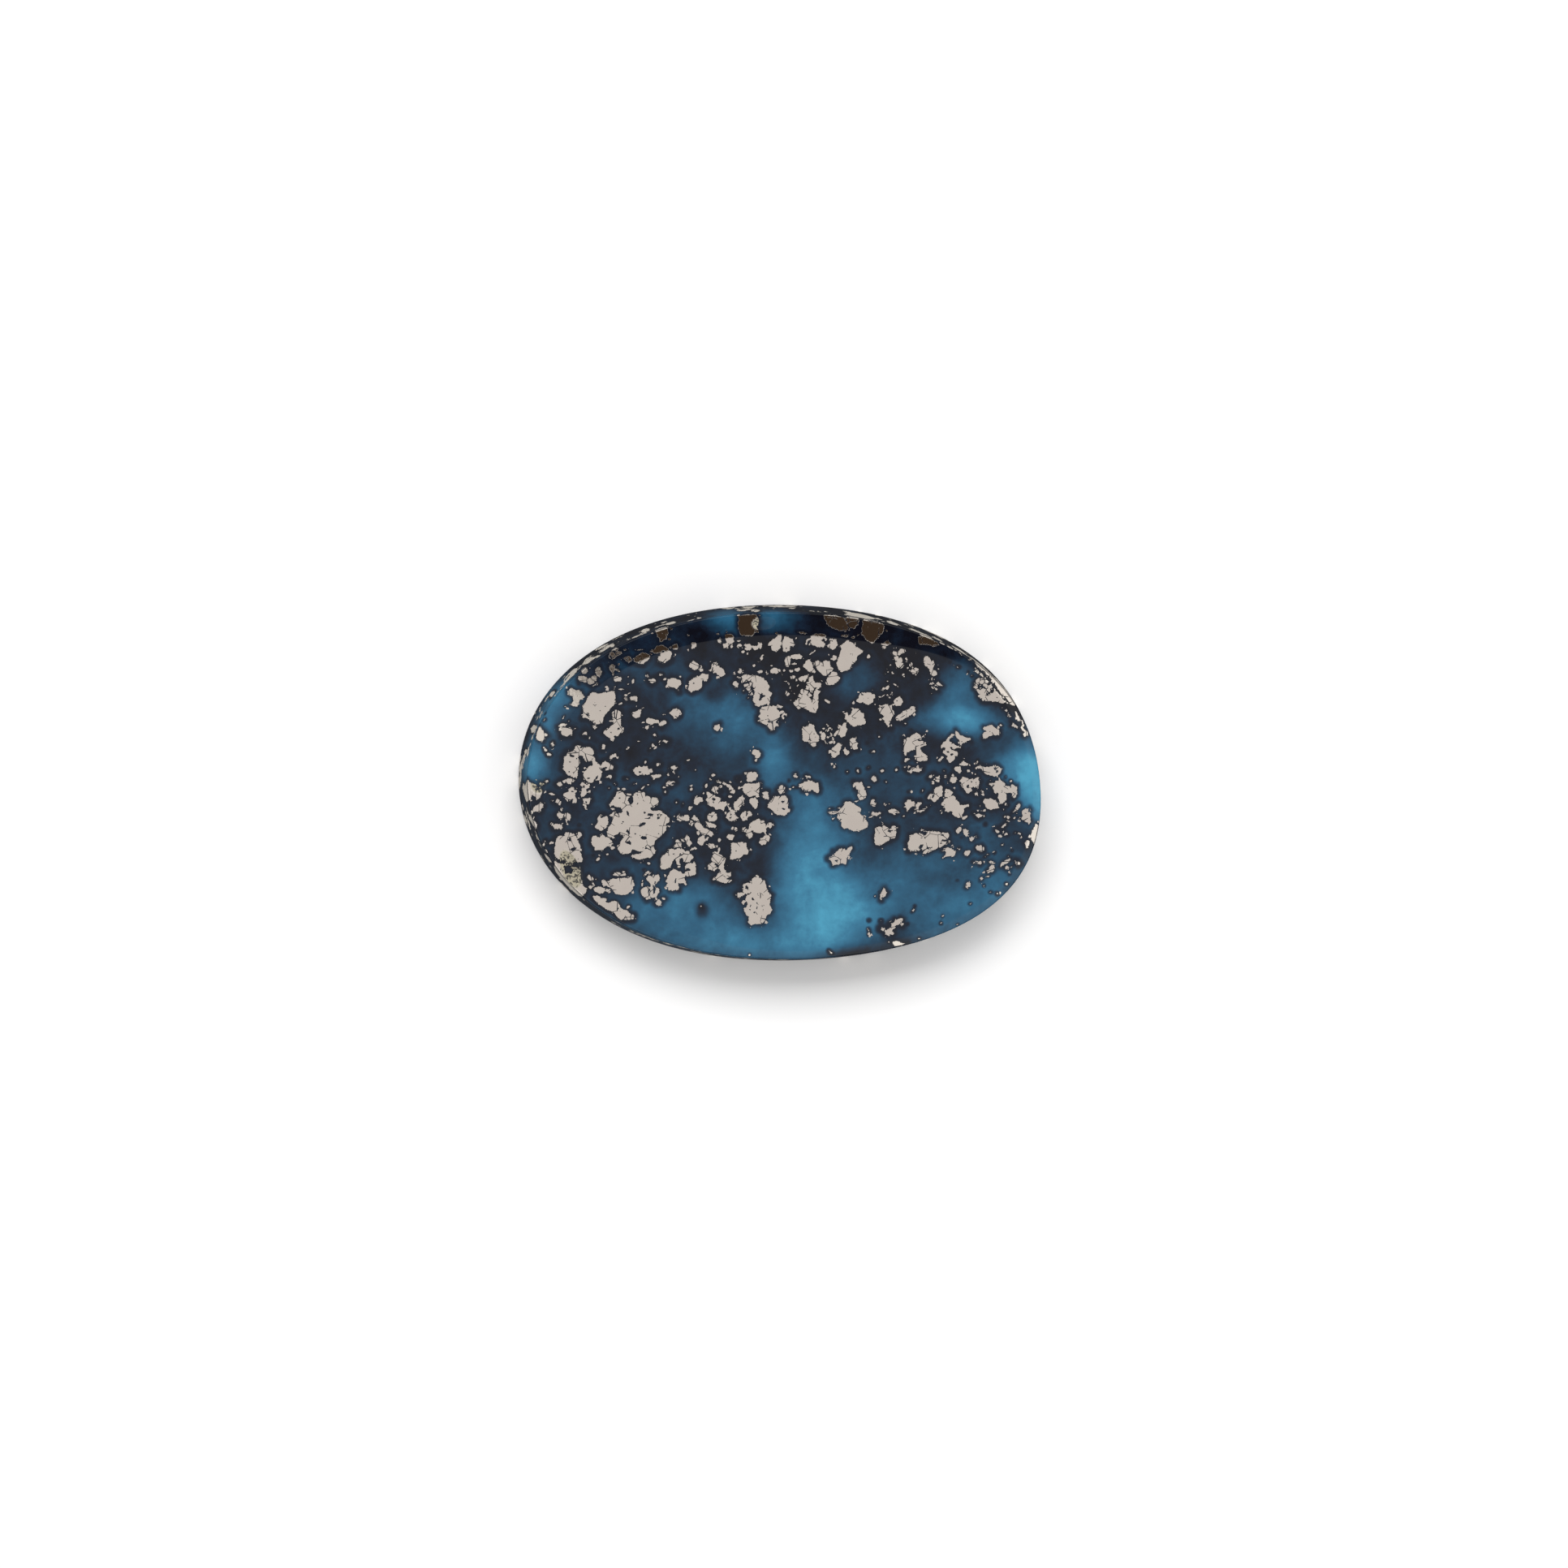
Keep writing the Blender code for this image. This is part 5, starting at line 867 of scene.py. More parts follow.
# Holes in the grains, given as the chips are.
PITS = (
    (-11.38, 3.72, 0.28, 0.14, -35), (-10.65, 3.9, 0.14, 0.08, -45), (-10.4, 4.2, 0.14, 0.1, 20),
    (-11.0, 4.45, 0.22, 0.06, -60), (-8.72, 3.85, 0.08, 0.06, 0), (-9.2, 6.88, 0.1, 0.09, 0),
    (-7.2, 7.4, 0.2, 0.12, 10), (-5.47, 5.68, 0.1, 0.08, 40), (-1.6, 5.05, 0.5, 0.2, 80),
    (-1.48, 5.08, 0.3, 0.14, 0), (-2.3, 5.85, 0.1, 0.08, 0), (-2.45, 5.75, 0.2, 0.08, 40),
    (2.33, 8.36, 0.1, 0.12, 0), (1.28, 5.1, 0.5, 0.08, 75), (4.15, 5.33, 0.1, 0.08, 0),
    (4.5, 5.18, 0.12, 0.06, 80), (6.53, 4.33, 0.1, 0.09, 0), (6.98, 4.52, 0.16, 0.1, 80),
    (11.1, 5.98, 0.34, 0.16, -40), (10.85, 6.0, 0.24, 0.1, 70), (11.55, 5.75, 0.3, 0.12, 40),
    (11.35, 5.58, 0.15, 0.1, 80), (0.45, 5.1, 0.2, 0.2, 0), (-0.25, 7.8, 0.1, 0.08, 60),
    (-9.89, 3.84, 0.12, 0.1, 0), (-9.61, 2.96, 0.16, 0.12, 0), (-10.0, 2.69, 0.36, 0.06, -40),
    (-9.81, 3.55, 0.2, 0.05, 20), (-12.21, 1.34, 0.36, 0.14, -12), (-12.3, 1.0, 0.12, 0.1, 0),
    (-12.61, 0.65, 0.09, 0.1, 0), (-11.98, 1.57, 0.14, 0.12, 0), (-11.23, 0.1, 0.12, 0.1, 0),
    (-10.76, 0.13, 0.34, 0.1, 60), (-11.45, -0.35, 0.22, 0.1, 60), (-11.29, -1.26, 0.1, 0.16, 0),
    (-14.12, -0.66, 0.2, 0.16, 0), (-6.34, 4.11, 0.12, 0.09, 0), (-8.33, 0.54, 0.18, 0.07, 15),
    (-8.17, 0.46, 0.1, 0.06, 0), (-12.13, -0.66, 0.15, 0.1, 0), (-1.08, 3.62, 0.26, 0.12, -35),
    (-0.9, 3.58, 0.16, 0.08, -30), (-1.2, 3.95, 0.09, 0.1, 0), (-3.11, -0.32, 0.12, 0.1, 0),
    (1.27, 2.72, 0.17, 0.13, 0), (1.56, 2.86, 0.11, 0.12, 0), (3.65, 3.91, 0.1, 0.12, 0),
    (3.47, 4.24, 0.1, 0.2, 0), (5.71, 4.79, 0.12, 0.08, 0), (5.28, 4.63, 0.3, 0.08, -10),
    (5.73, 4.27, 0.5, 0.03, 42), (2.67, 2.06, 0.3, 0.12, -12), (7.51, 2.83, 0.17, 0.12, -20),
    (7.38, 3.07, 0.08, 0.07, 0), (7.26, 2.92, 0.07, 0.06, 0), (7.3, 2.37, 0.16, 0.06, 80),
    (11.55, 3.49, 0.14, 0.08, -40), (9.37, 2.95, 0.3, 0.2, 0), (9.39, 2.42, 0.22, 0.14, -60),
    (9.13, 2.24, 0.2, 0.1, 0), (9.4, 2.08, 0.27, 0.14, 20), (9.3, 2.52, 0.12, 0.07, 0),
    (11.92, 1.36, 0.2, 0.17, 0), (12.05, 1.21, 0.2, 0.12, 60), (10.37, 0.32, 0.26, 0.18, 70),
    (10.85, 0.5, 0.16, 0.1, 80), (10.86, 0.28, 0.1, 0.08, 0), (10.59, 0.62, 0.2, 0.06, 80),
    (12.4, 0.17, 0.2, 0.05, 60), (12.86, 0.24, 0.2, 0.06, 85), (12.38, 0.01, 0.2, 0.05, 0),
    (8.41, -0.32, 0.2, 0.14, 60), (8.74, -0.1, 0.1, 0.06, 80), (9.23, -0.09, 0.1, 0.08, 0),
    (9.13, -0.79, 0.11, 0.09, 0), (11.85, 0.36, 0.2, 0.1, 80), (-12.16, -3.4, 0.24, 0.15, 70),
    (-11.93, -3.95, 0.45, 0.16, 15), (-12.21, -4.53, 0.13, 0.09, -40), (-11.64, -4.45, 0.1, 0.09, 0),
    (-9.88, -5.78, 0.2, 0.08, 60), (-12.2, -5.19, 0.5, 0.46, 0), (-11.78, -5.42, 0.15, 0.1, 0),
    (-9.28, -7.26, 0.26, 0.13, 60), (-9.47, -1.64, 0.5, 0.4, -20), (-8.93, -1.79, 0.46, 0.12, -75),
    (-7.98, -1.75, 0.16, 0.1, 80), (-7.64, -1.85, 0.34, 0.17, -5), (-7.18, -2.01, 0.28, 0.16, -50),
    (-7.27, -1.83, 0.16, 0.1, -20), (-7.03, -1.83, 0.16, 0.09, -30), (-8.08, -2.42, 0.32, 0.18, 35),
    (-7.17, -2.4, 0.17, 0.09, 70), (-8.89, -2.85, 0.36, 0.19, -60), (-8.47, -2.97, 0.11, 0.1, 0),
    (-8.0, -3.17, 0.36, 0.21, -20), (-8.21, -3.05, 0.12, 0.1, 0), (-8.77, -3.48, 0.32, 0.13, -60),
    (-8.43, -0.73, 0.09, 0.07, 0), (-8.34, -0.95, 0.2, 0.08, -75), (-7.98, -1.12, 0.26, 0.05, 0),
    (-9.09, -1.34, 0.16, 0.1, -60), (-9.4, -1.15, 0.1, 0.08, 0), (-9.4, -0.96, 0.16, 0.07, -20),
    (-8.4, -1.25, 0.08, 0.07, 0), (-7.73, -2.06, 0.16, 0.08, 0), (-9.2, -2.3, 0.1, 0.09, 0),
    (-8.73, -2.54, 0.07, 0.06, 0), (-7.14, -2.91, 0.1, 0.08, 0), (-4.09, -0.86, 0.26, 0.18, -20),
    (-4.13, -1.07, 0.1, 0.09, 0), (-4.24, -0.54, 0.3, 0.05, -50), (-3.02, -1.8, 0.4, 0.05, 65),
    (-2.73, -1.7, 0.3, 0.06, -50), (-2.17, -1.67, 0.28, 0.1, 80), (-4.17, -1.85, 0.14, 0.12, 0),
    (-4.07, -1.76, 0.14, 0.06, 20), (-4.66, -2.56, 0.16, 0.1, 40), (-1.33, -2.07, 0.08, 0.07, 0),
    (-1.85, -2.61, 0.16, 0.09, 40), (-0.2, -0.89, 0.36, 0.13, 12), (-0.38, -1.06, 0.17, 0.1, 0),
    (-0.16, -1.27, 0.56, 0.07, -18), (-0.44, -1.37, 0.2, 0.07, 80), (-0.34, -0.53, 0.16, 0.11, 80),
    (-5.84, -4.05, 0.3, 0.13, 0), (-6.26, -4.02, 0.32, 0.07, -35), (-5.4, -4.88, 0.27, 0.16, 0),
    (-6.27, -5.37, 0.11, 0.09, 0), (-6.1, -5.56, 0.3, 0.09, 85), (-7.39, -5.4, 0.1, 0.09, 0),
    (-7.23, -5.67, 0.2, 0.08, 35), (3.22, -1.36, 0.09, 0.07, 0), (3.19, -1.78, 0.09, 0.05, 0),
    (3.05, -4.12, 0.3, 0.12, 15), (3.21, -3.76, 0.14, 0.06, -60), (9.03, -2.52, 0.14, 0.12, 0),
    (9.05, -2.8, 0.16, 0.14, 0), (8.93, -2.97, 0.2, 0.06, -10), (9.16, -3.38, 0.2, 0.07, -35),
    (4.17, -2.37, 0.08, 0.07, 0), (-7.28, -6.18, 0.42, 0.17, 80), (-6.92, -6.81, 0.09, 0.08, 0),
    (-8.86, -7.75, 0.1, 0.1, 0), (-9.15, -7.42, 0.1, 0.09, 0), (-2.03, -5.84, 0.34, 0.2, -40),
    (-1.9, -6.17, 0.16, 0.06, 0), (-1.77, -6.1, 0.16, 0.05, -60), (-1.67, -6.46, 0.28, 0.13, -20),
    (-1.36, -6.21, 0.18, 0.06, -55), (-1.39, -6.7, 0.14, 0.13, 0), (-1.4, -6.91, 0.3, 0.07, 85),
    (-1.79, -6.84, 0.16, 0.12, 50), (-1.82, -7.07, 0.12, 0.1, 0), (-1.56, -7.23, 0.11, 0.11, 0),
    (-1.08, -6.83, 0.22, 0.09, 10), (-2.13, -6.19, 0.3, 0.07, -50),
)

# Grains cut through by the wall: (degrees round the oval, how far down, length round the rim, height).
WALL_GRAINS = (
    (138.8, 1.3, 0.9, 1.8), (143.8, 1.5, 0.6, 1.6), (131.8, 1.2, 0.35, 1.2), (123.0, 1.4, 0.5, 1.3),
    (117.0, 1.0, 0.6, 1.0), (152.3, 1.8, 0.5, 1.4), (164.1, 1.4, 0.55, 1.7), (172.0, 1.7, 0.35, 1.0),
    (98.0, 0.9, 0.5, 1.2), (75.0, 1.2, 1.8, 2.0), (67.5, 1.0, 0.8, 1.6), (57.0, 0.8, 0.7, 1.2),
    (51.0, 0.9, 1.1, 1.4), (45.5, 0.8, 0.9, 1.2), (38.0, 0.9, 0.6, 1.4),
)

# Where the grains are crumbled: (x, y, radius, strength).
CRUMBLED = (
    (0.7, 5.4, 0.7, 0.9), (5.9, 7.0, 1.2, 0.6), (11.0, 6.2, 0.9, 0.7), (-2.4, 5.8, 0.5, 0.8),
    (7.0, 7.0, 0.8, 0.7),
)

# How far from its edge a grain is still felt in the matrix, and the ragged corners of a chip.
REACH = 0.6
CHIP_CORNERS = 9
CORNER_SHIFT = 0.3
CORNER_SIZES = (0.78, 1.22)
CHIP_FADE = 1.8
dice = np.random.default_rng(7)


def chip_outline(x, y, length, width, turn):
    """A chip's ragged outline round its middle."""
    shifts = dice.uniform(-CORNER_SHIFT, CORNER_SHIFT, CHIP_CORNERS)
    angles = (np.arange(CHIP_CORNERS) + shifts) * math.tau / CHIP_CORNERS
    size = dice.uniform(*CORNER_SIZES, CHIP_CORNERS)
    along = np.cos(angles) * length / 2 * size
    across = np.sin(angles) * width / 2 * size
    c, s = math.cos(math.radians(turn)), math.sin(math.radians(turn))
    return np.column_stack((x + along * c - across * s, y + along * s + across * c))


def depth_inside(spots, outline):
    """How far inside the outline each spot lies, in millimetres: less than nought outside it."""
    ends = np.roll(outline, -1, axis=0)
    edge = ends - outline
    away = spots[:, None] - outline[None]
    share = np.clip((away * edge).sum(2) / (edge**2).sum(1), 0, 1)
    gap = np.linalg.norm(away - share[..., None] * edge, axis=2).min(1)
    above = outline[:, 1] > spots[:, 1:]
    crosses = above != (ends[:, 1] > spots[:, 1:])
    rise = np.where(edge[:, 1] == 0, 1, edge[:, 1])
    where = outline[:, 0] + edge[:, 0] * (spots[:, 1:] - outline[:, 1]) / rise
    inside = (crosses & (spots[:, :1] < where)).sum(1) % 2 == 1
    return np.where(inside, gap, -gap)


def near(outline):
    """The mesh points, off the back, that lie within reach of the outline."""
    low, high = outline.min(0) - REACH, outline.max(0) + REACH
    return np.flatnonzero(((unrolled > low) & (unrolled < high)).all(1) & (on_back < 0.5))


def wall_outline(degrees, down, length, height):
    """A grain's ragged outline on the wall, which is taken as if it lay flat outside the rim."""
    at = np.array(math.radians(degrees))
    x, y = inside_oval(at, np.array(WALL_LEAN - down))
    rim_turn = oval(at + NUDGE) - oval(at - NUDGE)
    return chip_outline(x, y, length, height, math.degrees(math.atan2(rim_turn[1], rim_turn[0])))


# the matrix reaches less far round a small chip, and less of its edge is eaten away
outlines = [(np.array(grain), 1.0) for grain in GRAINS]
outlines += [(chip_outline(*chip), CHIP_FADE) for chip in CHIPS]
pyrite = np.full(len(points), -REACH)
pit_outlines = [chip_outline(*pit) for pit in PITS]
outlines += [(wall_outline(*grain), 1.0) for grain in WALL_GRAINS]
for outline, fade in outlines:
    local = near(outline)
    pyrite[local] = np.maximum(pyrite[local], depth_inside(unrolled[local], outline) * fade)
for outline in pit_outlines:
    local = near(outline)
    pyrite[local] = np.minimum(pyrite[local], -depth_inside(unrolled[local], outline))
crumbled = np.zeros(len(points))
for x, y, radius, strength in CRUMBLED:
    reach = np.hypot(unrolled[:, 0] - x, unrolled[:, 1] - y) / radius
    crumbled = np.maximum(crumbled, strength * np.exp(-(reach**4)))

# The turquoise: blue mineral between the grains, clear and bright in some places and drowned in black matrix
# in others, with soft edges like smoke. Each patch is (x, y, half length, half width, turn, strength), and
# one with a strength below nought is a dark cloud over the ones before it. The full-strength patch at the
# right end, (14.2, 0.6), is partly painted light: its blue is the stone's own, and its extra brightness is
# painted light falling on that end.
PATCHES = (
    (1.9, -5.7, 2.0, 3.5, -4, 0.72), (1.3, -1.9, 1.6, 2.4, 0, 0.42), (3.0, -7.4, 2.7, 1.9, 8, 0.85),
    (-0.7, 1.3, 1.0, 1.4, 0, 0.5), (-3.6, 3.8, 3.3, 2.0, -22, 0.44), (9.9, 4.0, 2.4, 0.9, -3, 0.72),
    # painted light: the full-strength patch at (14.2, 0.6) brightens the blue where light falls on the right
    # end
    (9.8, 6.0, 1.3, 1.2, 10, 0.5), (14.2, 0.6, 1.2, 2.4, 12, 1.0), (12.9, 1.5, 1.3, 0.9, 10, 0.6),
    (-5.4, -7.6, 4.0, 2.0, -8, 0.56), (7.2, -6.4, 3.4, 2.4, 0, 0.36), (10.4, -6.9, 2.6, 1.5, 38, 0.42),
    (-14.0, 2.8, 0.8, 2.6, -18, 0.5), (-12.9, 4.9, 1.2, 1.4, -40, 0.45), (-3.7, 9.4, 1.1, 1.0, 0, 0.48),
    (-0.9, 9.6, 1.2, 0.9, 0, 0.42), (3.8, 6.0, 1.3, 1.0, 20, 0.34), (-14.4, 0.4, 0.9, 1.0, 0, 0.55),
    (-1.0, -9.2, 3.4, 1.0, 0, 0.62), (4.0, -1.6, 0.8, 1.3, 0, 0.3), (-9.0, -2.0, 7.0, 5.5, 0, 0.19),
    (7.5, -2.0, 7.0, 4.5, 0, 0.16), (4.0, 1.0, 6.0, 2.2, 0, 0.15), (12.5, -5.2, 1.4, 2.2, -30, 0.3),
    (9.5, -4.2, 3.0, 1.2, 0, 0.26), (0.3, -4.7, 1.2, 1.7, 0, 0.34), (-9.5, 6.2, 4.0, 1.2, 35, 0.18),
    (11.3, -2.4, 1.6, 1.0, 0, 0.22), (4.4, -9.6, 2.0, 0.45, 4, -0.95), (-4.5, -7.2, 0.35, 0.45, 0, -0.9),
    (-4.2, 5.2, 0.7, 0.5, 0, -0.75), (9.0, -5.1, 1.2, 0.5, -10, -0.3), (6.4, -8.0, 0.9, 0.8, 20, -0.5),
    (-7.5, 1.6, 2.4, 0.9, 15, -0.5),
)
FADE_DOWN_WALL = 0.25
PATCH_FLATNESS = 1.3
PATCH_FALL = 0.8
soaked = points[:, :2] + (unrolled - points[:, :2]) * FADE_DOWN_WALL
turquoise = np.zeros(len(points))
for x, y, half_length, half_width, turn, strength in PATCHES:
    c, s = math.cos(math.radians(turn)), math.sin(math.radians(turn))
    away = soaked - (x, y)
    along = (away @ (c, s)) / half_length
    across = (away @ (-s, c)) / half_width
    soft = strength * np.exp(-((along**2 + across**2) ** PATCH_FLATNESS) * PATCH_FALL)
    turquoise += soft * np.where(soft > 0, 1 - turquoise, turquoise)

# The stone's finish: mirror-polished rock with metal in it. The grains' edges are roughened, cracked and
# pitted here, more finely than the mesh could carry them, and the flat back is left as it was ground.
material = bpy.data.materials.new("polished_turquoise")
material.use_nodes = True
tree = material.node_tree
shader = tree.nodes["Principled BSDF"]
shader.inputs["IOR"].default_value = 1.45
shader.inputs["Specular IOR Level"].default_value = 0.42


def wired(kind, inputs=(), **settings):
    """A node of that kind with these settings. Each input is a number or another node's output."""
    node = tree.nodes.new(kind)
    for name, value in settings.items():
        setattr(node, name, value)
    for name, value in dict(inputs).items():
        if isinstance(value, bpy.types.NodeSocket):
            tree.links.new(value, node.inputs[name])
        else:
            node.inputs[name].default_value = value
    return node


def reckoned(kind, *values):
    return wired("ShaderNodeMath", dict(enumerate(values)), operation=kind).outputs[0]


def plus(first, second):
    return reckoned("ADD", first, second)


def minus(first, second):
    return reckoned("SUBTRACT", first, second)


def times(first, second):
    return reckoned("MULTIPLY", first, second)


def larger(first, second):
    return reckoned("MAXIMUM", first, second)


def carried(name):
    """A mark that the mesh's points carry."""
    return wired("ShaderNodeAttribute", attribute_name=name).outputs["Fac"]


def ramped(value, low, high, start=0.0, end=1.0):
    """Start below low, end above high, and a smooth change between them."""
    inputs = {"Value": value, "From Min": low, "From Max": high, "To Min": start, "To Max": end}
    return wired("ShaderNodeMapRange", inputs, interpolation_type="SMOOTHSTEP").outputs["Result"]


def noise(scale, detail=2.0, roughness=0.5, distortion=0.0):
    inputs = {"Vector": spot, "Scale": scale, "Detail": detail, "Roughness": roughness}
    inputs["Distortion"] = distortion
    return wired("ShaderNodeTexNoise", inputs).outputs["Fac"]


def swing(*settings):
    """Noise that goes below nought as much as above it."""
    return minus(noise(*settings), 0.5)


def cells(scale, place, feature="F1"):
    """Crystals of uneven size: each has a middle, an edge and a colour of its own."""
    inputs = {"Vector": place, "Scale": scale, "Randomness": 1.0}
    return wired("ShaderNodeTexVoronoi", inputs, feature=feature).outputs


def channel(colour, number):
    return wired("ShaderNodeSeparateColor", {0: colour}).outputs[number]


def blended(share, first, second):
    return wired("ShaderNodeMix", {0: share, 6: first, 7: second}, data_type="RGBA").outputs[2]


# where the point lies on the stone, in millimetres
stone_place = wired("ShaderNodeTexCoord").outputs["Object"]
spot = wired("ShaderNodeVectorMath", {0: stone_place, 3: 1 / MM}, operation="SCALE").outputs[0]

# ragged edges, cracks between crumbled pieces and pits in the grains
RAGGED = 0.20
JAGGED = 0.09
SEAM = -0.22
CRACK = -0.30
LARGEST_PIT = 0.11
ragged = plus(times(swing(5.5, 3.0, 0.62), RAGGED), times(swing(15.0, 2.0, 0.6), JAGGED))
seams = ramped(cells(3.6, spot, "DISTANCE_TO_EDGE")["Distance"], 0.02, 0.16, SEAM, 0.0)
cracks = ramped(cells(1.5, spot, "DISTANCE_TO_EDGE")["Distance"], 0.005, 0.035, CRACK, 0.0)
cracks = times(cracks, ramped(noise(1.1, 3.0), 0.48, 0.56))
depth = plus(plus(carried("pyrite"), ragged), plus(times(seams, carried("crumbled")), cracks))
pit_cells = cells(2.6, spot)
pit_size = ramped(channel(pit_cells["Color"], 0), 0.6, 1.0, 0.0, LARGEST_PIT)
pits = reckoned("LESS_THAN", pit_cells["Distance"], pit_size)
grain = minus(ramped(depth, -0.008, 0.010), pits)

# flecks of pyrite that lie scattered in the matrix beside the grains
LARGEST_FLECK = 0.30
STIR = (0.22, 0.22, 0.22)
stirred = wired("ShaderNodeTexNoise", {"Vector": spot, "Scale": 9.0, "Detail": 1.0}).outputs["Color"]
stirred = wired("ShaderNodeVectorMath", {0: stirred, 1: STIR, 2: spot}, operation="MULTIPLY_ADD").outputs[0]
fleck_cells = cells(3.4, stirred)
fleck_size = ramped(channel(fleck_cells["Color"], 1), 0.62, 1.0, 0.0, LARGEST_FLECK)
fleck_size = times(fleck_size, ramped(carried("pyrite"), -0.45, -0.12))
grain = larger(grain, reckoned("LESS_THAN", fleck_cells["Distance"], fleck_size))

# rock that shows through the metal on the floors of the hollows
specks = times(ramped(noise(7.0, 2.0), 0.50, 0.58), ramped(carried("broken"), 0.0, 0.35, 0.0, 0.85))
grain = larger(minus(grain, specks), 0.0)

# grains that the wall and the back cut through, duller than those of the face
unpolished = larger(carried("wall"), carried("ground"))
cut = ramped(plus(noise(0.62, 4.0, 0.62), times(noise(2.6, 2.0), 0.25)), 0.715, 0.73)
grain = larger(grain, times(cut, ramped(unpolished, 0.5, 0.9)))
dull = larger(ramped(carried("broken"), 0.0, 0.3), times(unpolished, 0.85))

# black matrix hugs the grains and smokes away into the blue
HALO_STRENGTH = 0.75
LEAST_BLUE = 0.03
mottle = swing(0.55, 4.0, 0.55, 0.3)
halo = ramped(plus(carried("pyrite"), times(mottle, 0.8)), -0.32, 0.02)
smoke = plus(times(mottle, 0.60), times(swing(2.4, 4.0, 0.6), 0.18))
clear = plus(plus(carried("turquoise"), LEAST_BLUE), smoke)
clear = times(clear, minus(1.0, times(halo, HALO_STRENGTH)))
STONE_SHADES = (
    (0.00, (0.0030, 0.0035, 0.0070)), (0.13, (0.0055, 0.0110, 0.0230)), (0.32, (0.009, 0.036, 0.070)),
    (0.55, (0.018, 0.088, 0.162)), (0.78, (0.032, 0.158, 0.268)), (1.00, (0.060, 0.285, 0.430)),
)
shades = wired("ShaderNodeValToRGB", {"Fac": clear})
ramp = shades.color_ramp
for at, (place, colour) in enumerate(STONE_SHADES):
    stop = ramp.elements[at] if at < 2 else ramp.elements.new(place)
    stop.position = place
    stop.color = (*colour, 1.0)

# pale polished metal, greyer on the wall and brown in the hollows
PYRITE = (0.80, 0.72, 0.66, 1.0)
PALE_PYRITE = (0.86, 0.80, 0.72, 1.0)
WALL_PYRITE = (0.70, 0.65, 0.57, 1.0)
BROKEN_PYRITE = (0.46, 0.42, 0.32, 1.0)
metal = blended(noise(1.3, 3.0), PYRITE, PALE_PYRITE)
metal = blended(unpolished, metal, WALL_PYRITE)
metal = blended(ramped(carried("broken"), 0.0, 0.3), metal, BROKEN_PYRITE)
tree.links.new(blended(grain, shades.outputs["Color"], metal), shader.inputs["Base Color"])
tree.links.new(times(grain, minus(1.0, times(dull, 0.7))), shader.inputs["Metallic"])

# gloss, and the relief of the metal, faint where it is polished
POLISHED_ROCK = 0.06
POLISHED_PYRITE = 0.12
UNPOLISHED = 0.38
gloss = ramped(grain, 0.0, 1.0, POLISHED_ROCK, POLISHED_PYRITE)
gloss = plus(gloss, times(larger(unpolished, dull), UNPOLISHED))
tree.links.new(gloss, shader.inputs["Roughness"])
roughed = times(noise(6.0, 2.0), times(grain, ramped(dull, 0.0, 1.0, 0.3, 1.0)))
uneven = wired("ShaderNodeBump", {"Height": roughed, "Distance": 0.03 * MM})
tree.links.new(uneven.outputs["Normal"], shader.inputs["Normal"])

mesh = bpy.data.meshes.new("turquoise_stone_polished")
quads = np.concatenate(faces)
mesh.from_pydata((points * MM).tolist(), [], quads.tolist() + fan)
marks = {"pyrite": pyrite, "crumbled": crumbled, "turquoise": turquoise}
marks.update(ground=on_back, wall=on_wall, broken=broken)
for name, values in marks.items():
    mesh.attributes.new(name, "FLOAT", "POINT").data.foreach_set("value", values.astype(np.float32))
mesh.shade_smooth()
mesh.materials.append(material)
stone = bpy.data.objects.new("turquoise_stone_polished", mesh)
bpy.context.scene.collection.objects.link(stone)
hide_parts("turquoise_stone")
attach(stone, "root")

# The table: a plain pale sheet that the stone rests on. The polish doesn't mirror it.
FLOOR_HALF = 3.0
floor_mesh = bpy.data.meshes.new("floor")
corners = [(x * FLOOR_HALF, y * FLOOR_HALF, 0) for x, y in ((-1, -1), (1, -1), (1, 1), (-1, 1))]
floor_mesh.from_pydata(corners, [], [(0, 1, 2, 3)])
floor = bpy.data.objects.new("floor", floor_mesh)
bpy.context.scene.collection.objects.link(floor)
floor_material = bpy.data.materials.new("pale_floor")
floor_material.use_nodes = True
floor_shader = floor_material.node_tree.nodes["Principled BSDF"]
floor_shader.inputs["Base Color"].default_value = (0.90, 0.90, 0.905, 1.0)
floor_shader.inputs["Roughness"].default_value = 0.9
floor_shader.inputs["Specular IOR Level"].default_value = 0.0
floor_mesh.materials.append(floor_material)
floor.visible_glossy = False

# The light: a pale tent. Straight above is a shade of grey, which the face mirrors, and a dark screen behind
# the stone's upper edge and left side, which only the bevel mirrors. A grey card at the lower left keeps the
# bevel from shining there. A soft lamp behind the upper edge throws the shadow to the lower side.
TENT = (0.98, 0.98, 0.96, 1.0)
SHADE = (0.62, 0.605, 0.60, 1.0)
SCREEN = (0.045, 0.030, 0.020, 1.0)
BELOW = (0.10, 0.105, 0.115, 1.0)
world = bpy.data.worlds.new("tent")
bpy.context.scene.world = world
world.use_nodes = True
tree = world.node_tree
sky = tree.nodes["Background"]
way = wired("ShaderNodeSeparateXYZ", {0: wired("ShaderNodeTexCoord").outputs["Generated"]})
from_top = reckoned("ARCCOSINE", way.outputs["Z"])
bearing = reckoned("ARCTAN2", way.outputs["Y"], way.outputs["X"])


def past(angle, low, high, most=1.0):
    """0 below the low angle, most above the high one, both in degrees."""
    return ramped(angle, math.radians(low), math.radians(high), 0.0, most)


def short_of(angle, low, high, most=1.0):
    return minus(1.0, past(angle, low, high, most))


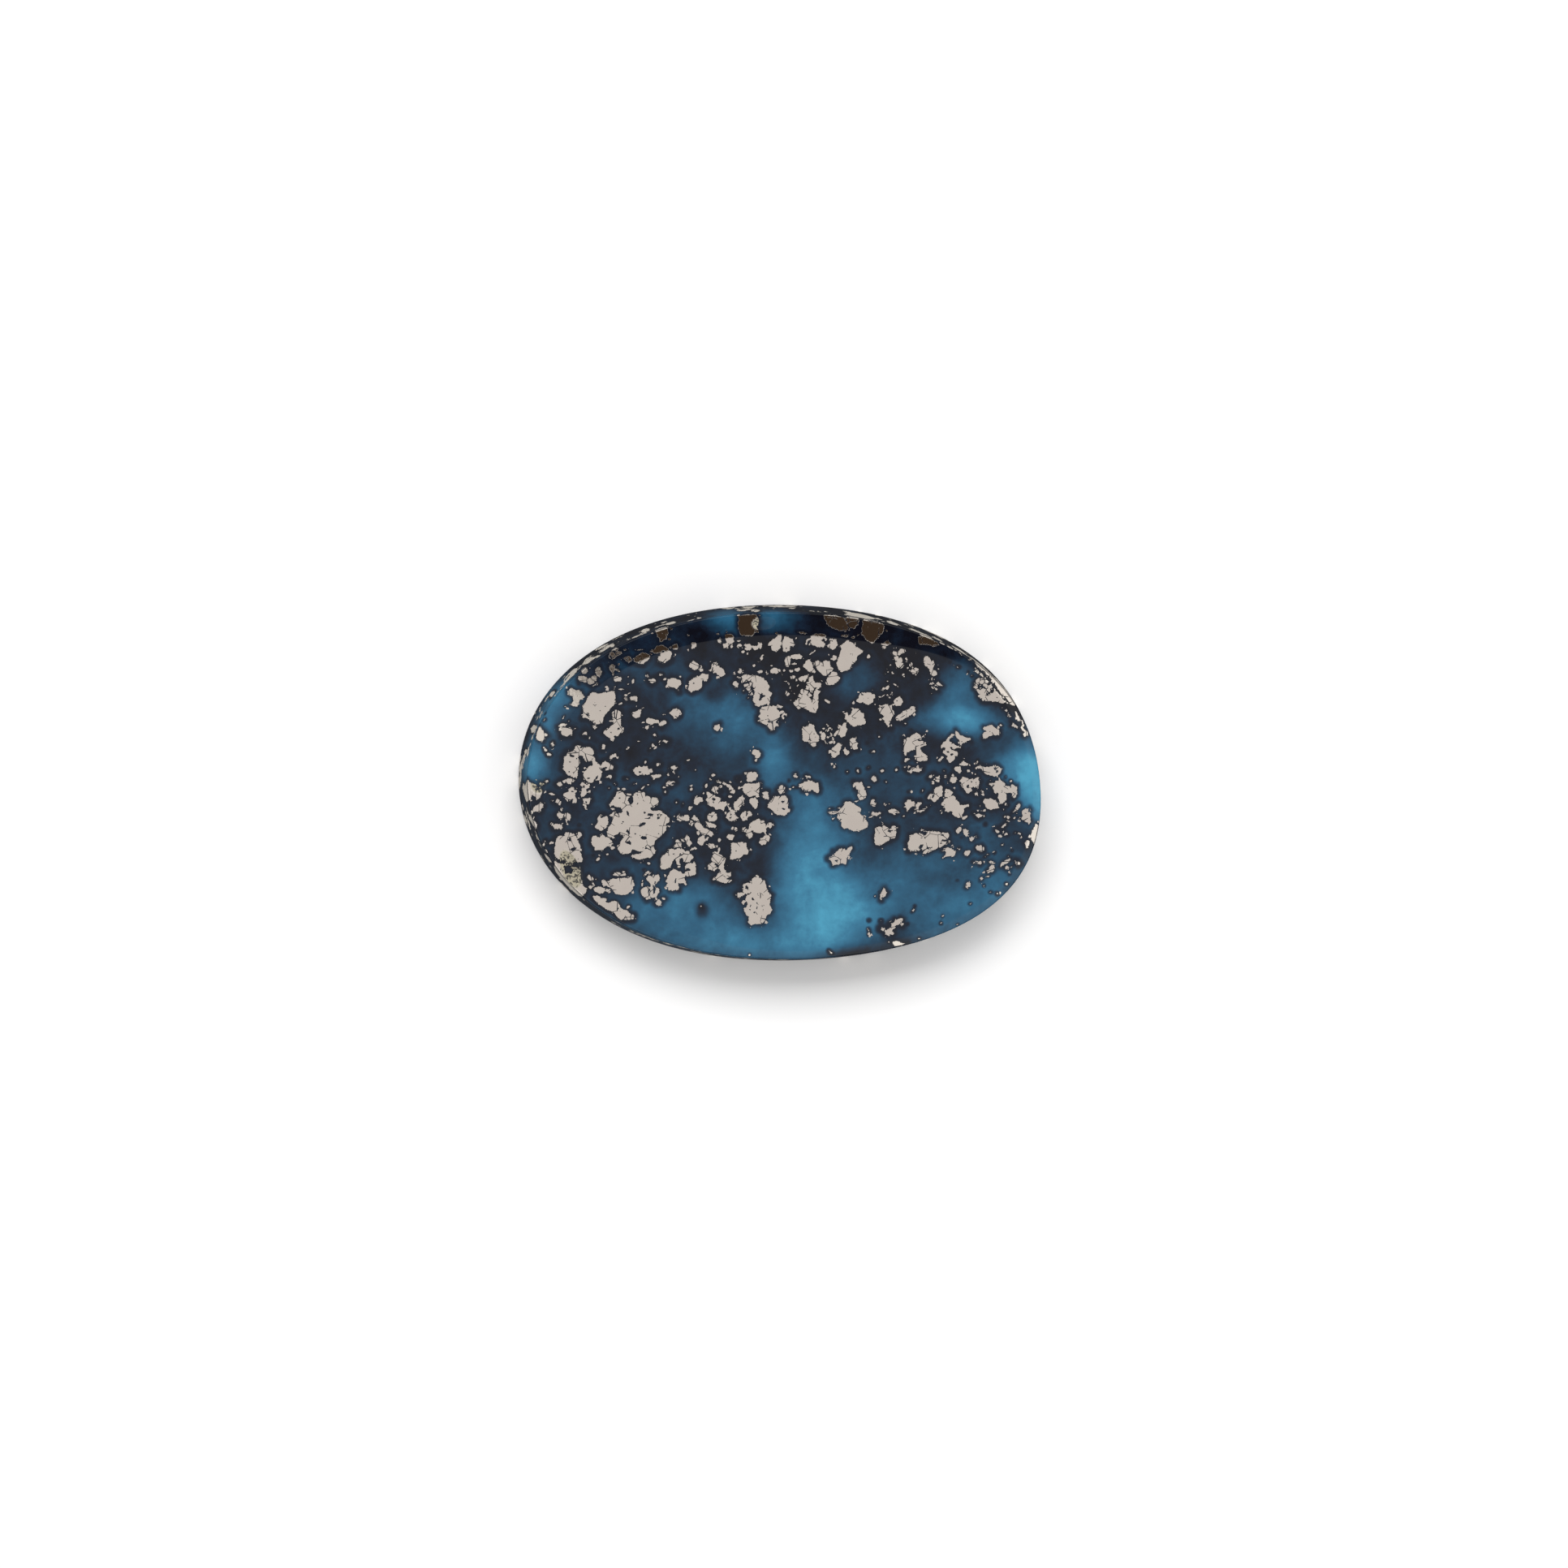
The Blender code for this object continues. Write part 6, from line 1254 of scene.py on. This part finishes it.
overhead = short_of(from_top, 20, 34)
card = times(short_of(from_top, 66, 76), short_of(bearing, -105, -85))
screen_height = times(past(from_top, 17, 27), short_of(from_top, 70, 82))
screen_width = times(past(bearing, 38, 62), short_of(bearing, 112, 150, 0.8))
tent = blended(larger(overhead, card), TENT, SHADE)
tent = blended(times(screen_height, screen_width), tent, SCREEN)
tree.links.new(blended(past(from_top, 88, 92), tent, BELOW), sky.inputs["Color"])
sky.inputs["Strength"].default_value = 1.0

lamp_data = bpy.data.lights.new("softbox", "AREA")
lamp_data.shape = "RECTANGLE"
lamp_data.size = 0.5
lamp_data.size_y = 0.3
lamp_data.energy = 2.8
lamp = bpy.data.objects.new("softbox", lamp_data)
lamp.location = (-0.05, 0.34, 0.48)
lamp.rotation_euler = (Vector((0, 0, 0)) - lamp.location).to_track_quat("-Z", "Y").to_euler()
lamp.visible_glossy = False
bpy.context.scene.collection.objects.link(lamp)

# The camera: it looks down at the face from the side that the photograph does, turned a little.
PHOTO_SIDE = 1932
LENS = 100.0
SENSOR = 24.0
DISTANCE = 0.375
TILT = math.radians(2.5)
YAW = math.radians(5.0)
ROLL = math.radians(2.0)
STONE_MIDDLE_IN_PHOTO = (962.8, 965.1)
back = Vector((-math.sin(YAW) * math.cos(TILT), math.sin(TILT), math.cos(YAW) * math.cos(TILT)))
level = (-back).cross(Vector((0, 1, 0))).normalized()
upright = level.cross(-back)
right = math.cos(ROLL) * level + math.sin(ROLL) * upright
up = math.cos(ROLL) * upright - math.sin(ROLL) * level
aim = Vector((*OVAL_MIDDLE * MM, 0.0))
camera_data = bpy.data.cameras.new("camera")
camera_data.lens = LENS
camera_data.sensor_width = SENSOR
camera_data.shift_x = (PHOTO_SIDE / 2 - STONE_MIDDLE_IN_PHOTO[0]) / PHOTO_SIDE
camera_data.shift_y = (STONE_MIDDLE_IN_PHOTO[1] - PHOTO_SIDE / 2) / PHOTO_SIDE
camera_data.clip_start = 0.01
camera = bpy.data.objects.new("camera", camera_data)
turned = Matrix((right, up, back)).transposed()
camera.matrix_world = Matrix.LocRotScale(aim + back * DISTANCE, turned, None)
bpy.context.scene.collection.objects.link(camera)
bpy.context.scene.camera = camera
bpy.context.scene.view_settings.view_transform = "Standard"
